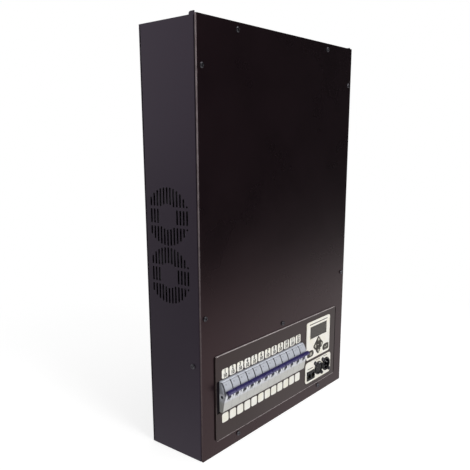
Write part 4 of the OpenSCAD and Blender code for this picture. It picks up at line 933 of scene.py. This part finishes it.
def pale_floor():
    """White sheet that keeps the object's shadow and sweeps into the backdrop further out.

    Reflections show the sheet white round the object and end it about a metre in front of it.
    """
    ground = bmesh.new()
    bmesh.ops.create_grid(ground, x_segments=1, y_segments=1, size=9.0)
    mesh = bpy.data.meshes.new("floor")
    ground.to_mesh(mesh)
    ground.free()
    floor = bpy.data.objects.new("floor", mesh)
    bpy.context.scene.collection.objects.link(floor)
    material = bpy.data.materials.new("pale_floor")
    material.use_nodes = True
    tree = material.node_tree
    tree.nodes.clear()
    path = put(tree, "ShaderNodeLightPath").outputs
    place, at = object_place(tree)
    far = put(tree, "ShaderNodeVectorMath", {0: place}, operation="LENGTH").outputs["Value"]
    plain = put(tree, "ShaderNodeBsdfDiffuse", {"Color": (0.8, 0.8, 0.8, 1.0)})
    pale = put(tree, "ShaderNodeBsdfDiffuse", {"Color": (0.5, 0.5, 0.5, 1.0)})
    glow = put(tree, "ShaderNodeEmission", {"Color": (1.0, 1.0, 1.0, 1.0), "Strength": 0.74})
    white = put(tree, "ShaderNodeEmission", {"Color": (1.0, 1.0, 1.0, 1.0), "Strength": 1.0})
    near = put(tree, "ShaderNodeAddShader", {0: pale.outputs[0], 1: glow.outputs[0]})
    shown = put(tree, "ShaderNodeMixShader", {0: fade(tree, far, 0.4, 0.9), 1: near.outputs[0],
                                              2: white.outputs[0]})
    sheet = put(tree, "ShaderNodeEmission",
                {"Color": (1.0, 1.0, 1.0, 1.0),
                 "Strength": product(tree, fade(tree, at["Y"], -1.0, -0.25, 0.03, 0.8),
                                     fade(tree, at["Y"], -0.1, 0.3, 1.0, 0.65))})
    lit = put(tree, "ShaderNodeMixShader",
              {0: path["Is Glossy Ray"], 1: plain.outputs[0], 2: sheet.outputs[0]})
    mixed = put(tree, "ShaderNodeMixShader",
                {0: path["Is Camera Ray"], 1: lit.outputs[0], 2: shown.outputs[0]})
    out = put(tree, "ShaderNodeOutputMaterial")
    tree.links.new(mixed.outputs[0], out.inputs["Surface"])
    mesh.materials.append(material)


def soft_light(name, place, target, size, level):
    """Area light whose level is what a white face turned to it at the target would show."""
    data = bpy.data.lights.new(name, "AREA")
    data.shape = "DISK"
    data.size = size
    away = Vector(place) - Vector(target)
    data.energy = level * math.pi ** 2 * away.length_squared
    light = bpy.data.objects.new(name, data)
    light.location = place
    light.rotation_mode = "QUATERNION"
    light.rotation_quaternion = away.to_track_quat("Z", "Y")
    bpy.context.scene.collection.objects.link(light)


def photo_camera():
    """Camera of the photograph: place, heading, tilt and roll, with the frame's middle shifted."""
    heading, tilt, roll = math.radians(49.93), math.radians(-12.59), math.radians(-0.42)
    ahead = Vector((math.sin(heading) * math.cos(tilt), math.cos(heading) * math.cos(tilt),
                    math.sin(tilt)))
    right = Vector((math.cos(heading), -math.sin(heading), 0.0))
    up = right.cross(ahead)
    side = right * math.cos(roll) + up * math.sin(roll)
    top = up * math.cos(roll) - right * math.sin(roll)
    data = bpy.data.cameras.new("camera")
    data.sensor_fit = "HORIZONTAL"
    data.sensor_width = 36.0
    data.lens = 44.505
    data.shift_x = 0.02417
    data.shift_y = 0.07923
    camera = bpy.data.objects.new("camera", data)
    turned = Matrix((side, top, -ahead)).transposed().to_4x4()
    camera.matrix_world = move_to(-0.7509, -0.5582, 0.4463) @ turned
    bpy.context.scene.collection.objects.link(camera)
    bpy.context.scene.camera = camera


studio_world()
pale_floor()
soft_light("overhead", (0.3, -0.4, 2.6), (0.0, 0.0, 0.3), 2.2, 0.38)
soft_light("front", (-0.4, -2.7, 1.3), (0.0, 0.0, 0.3), 1.4, 0.62)
photo_camera()
bpy.context.scene.view_settings.view_transform = "Standard"
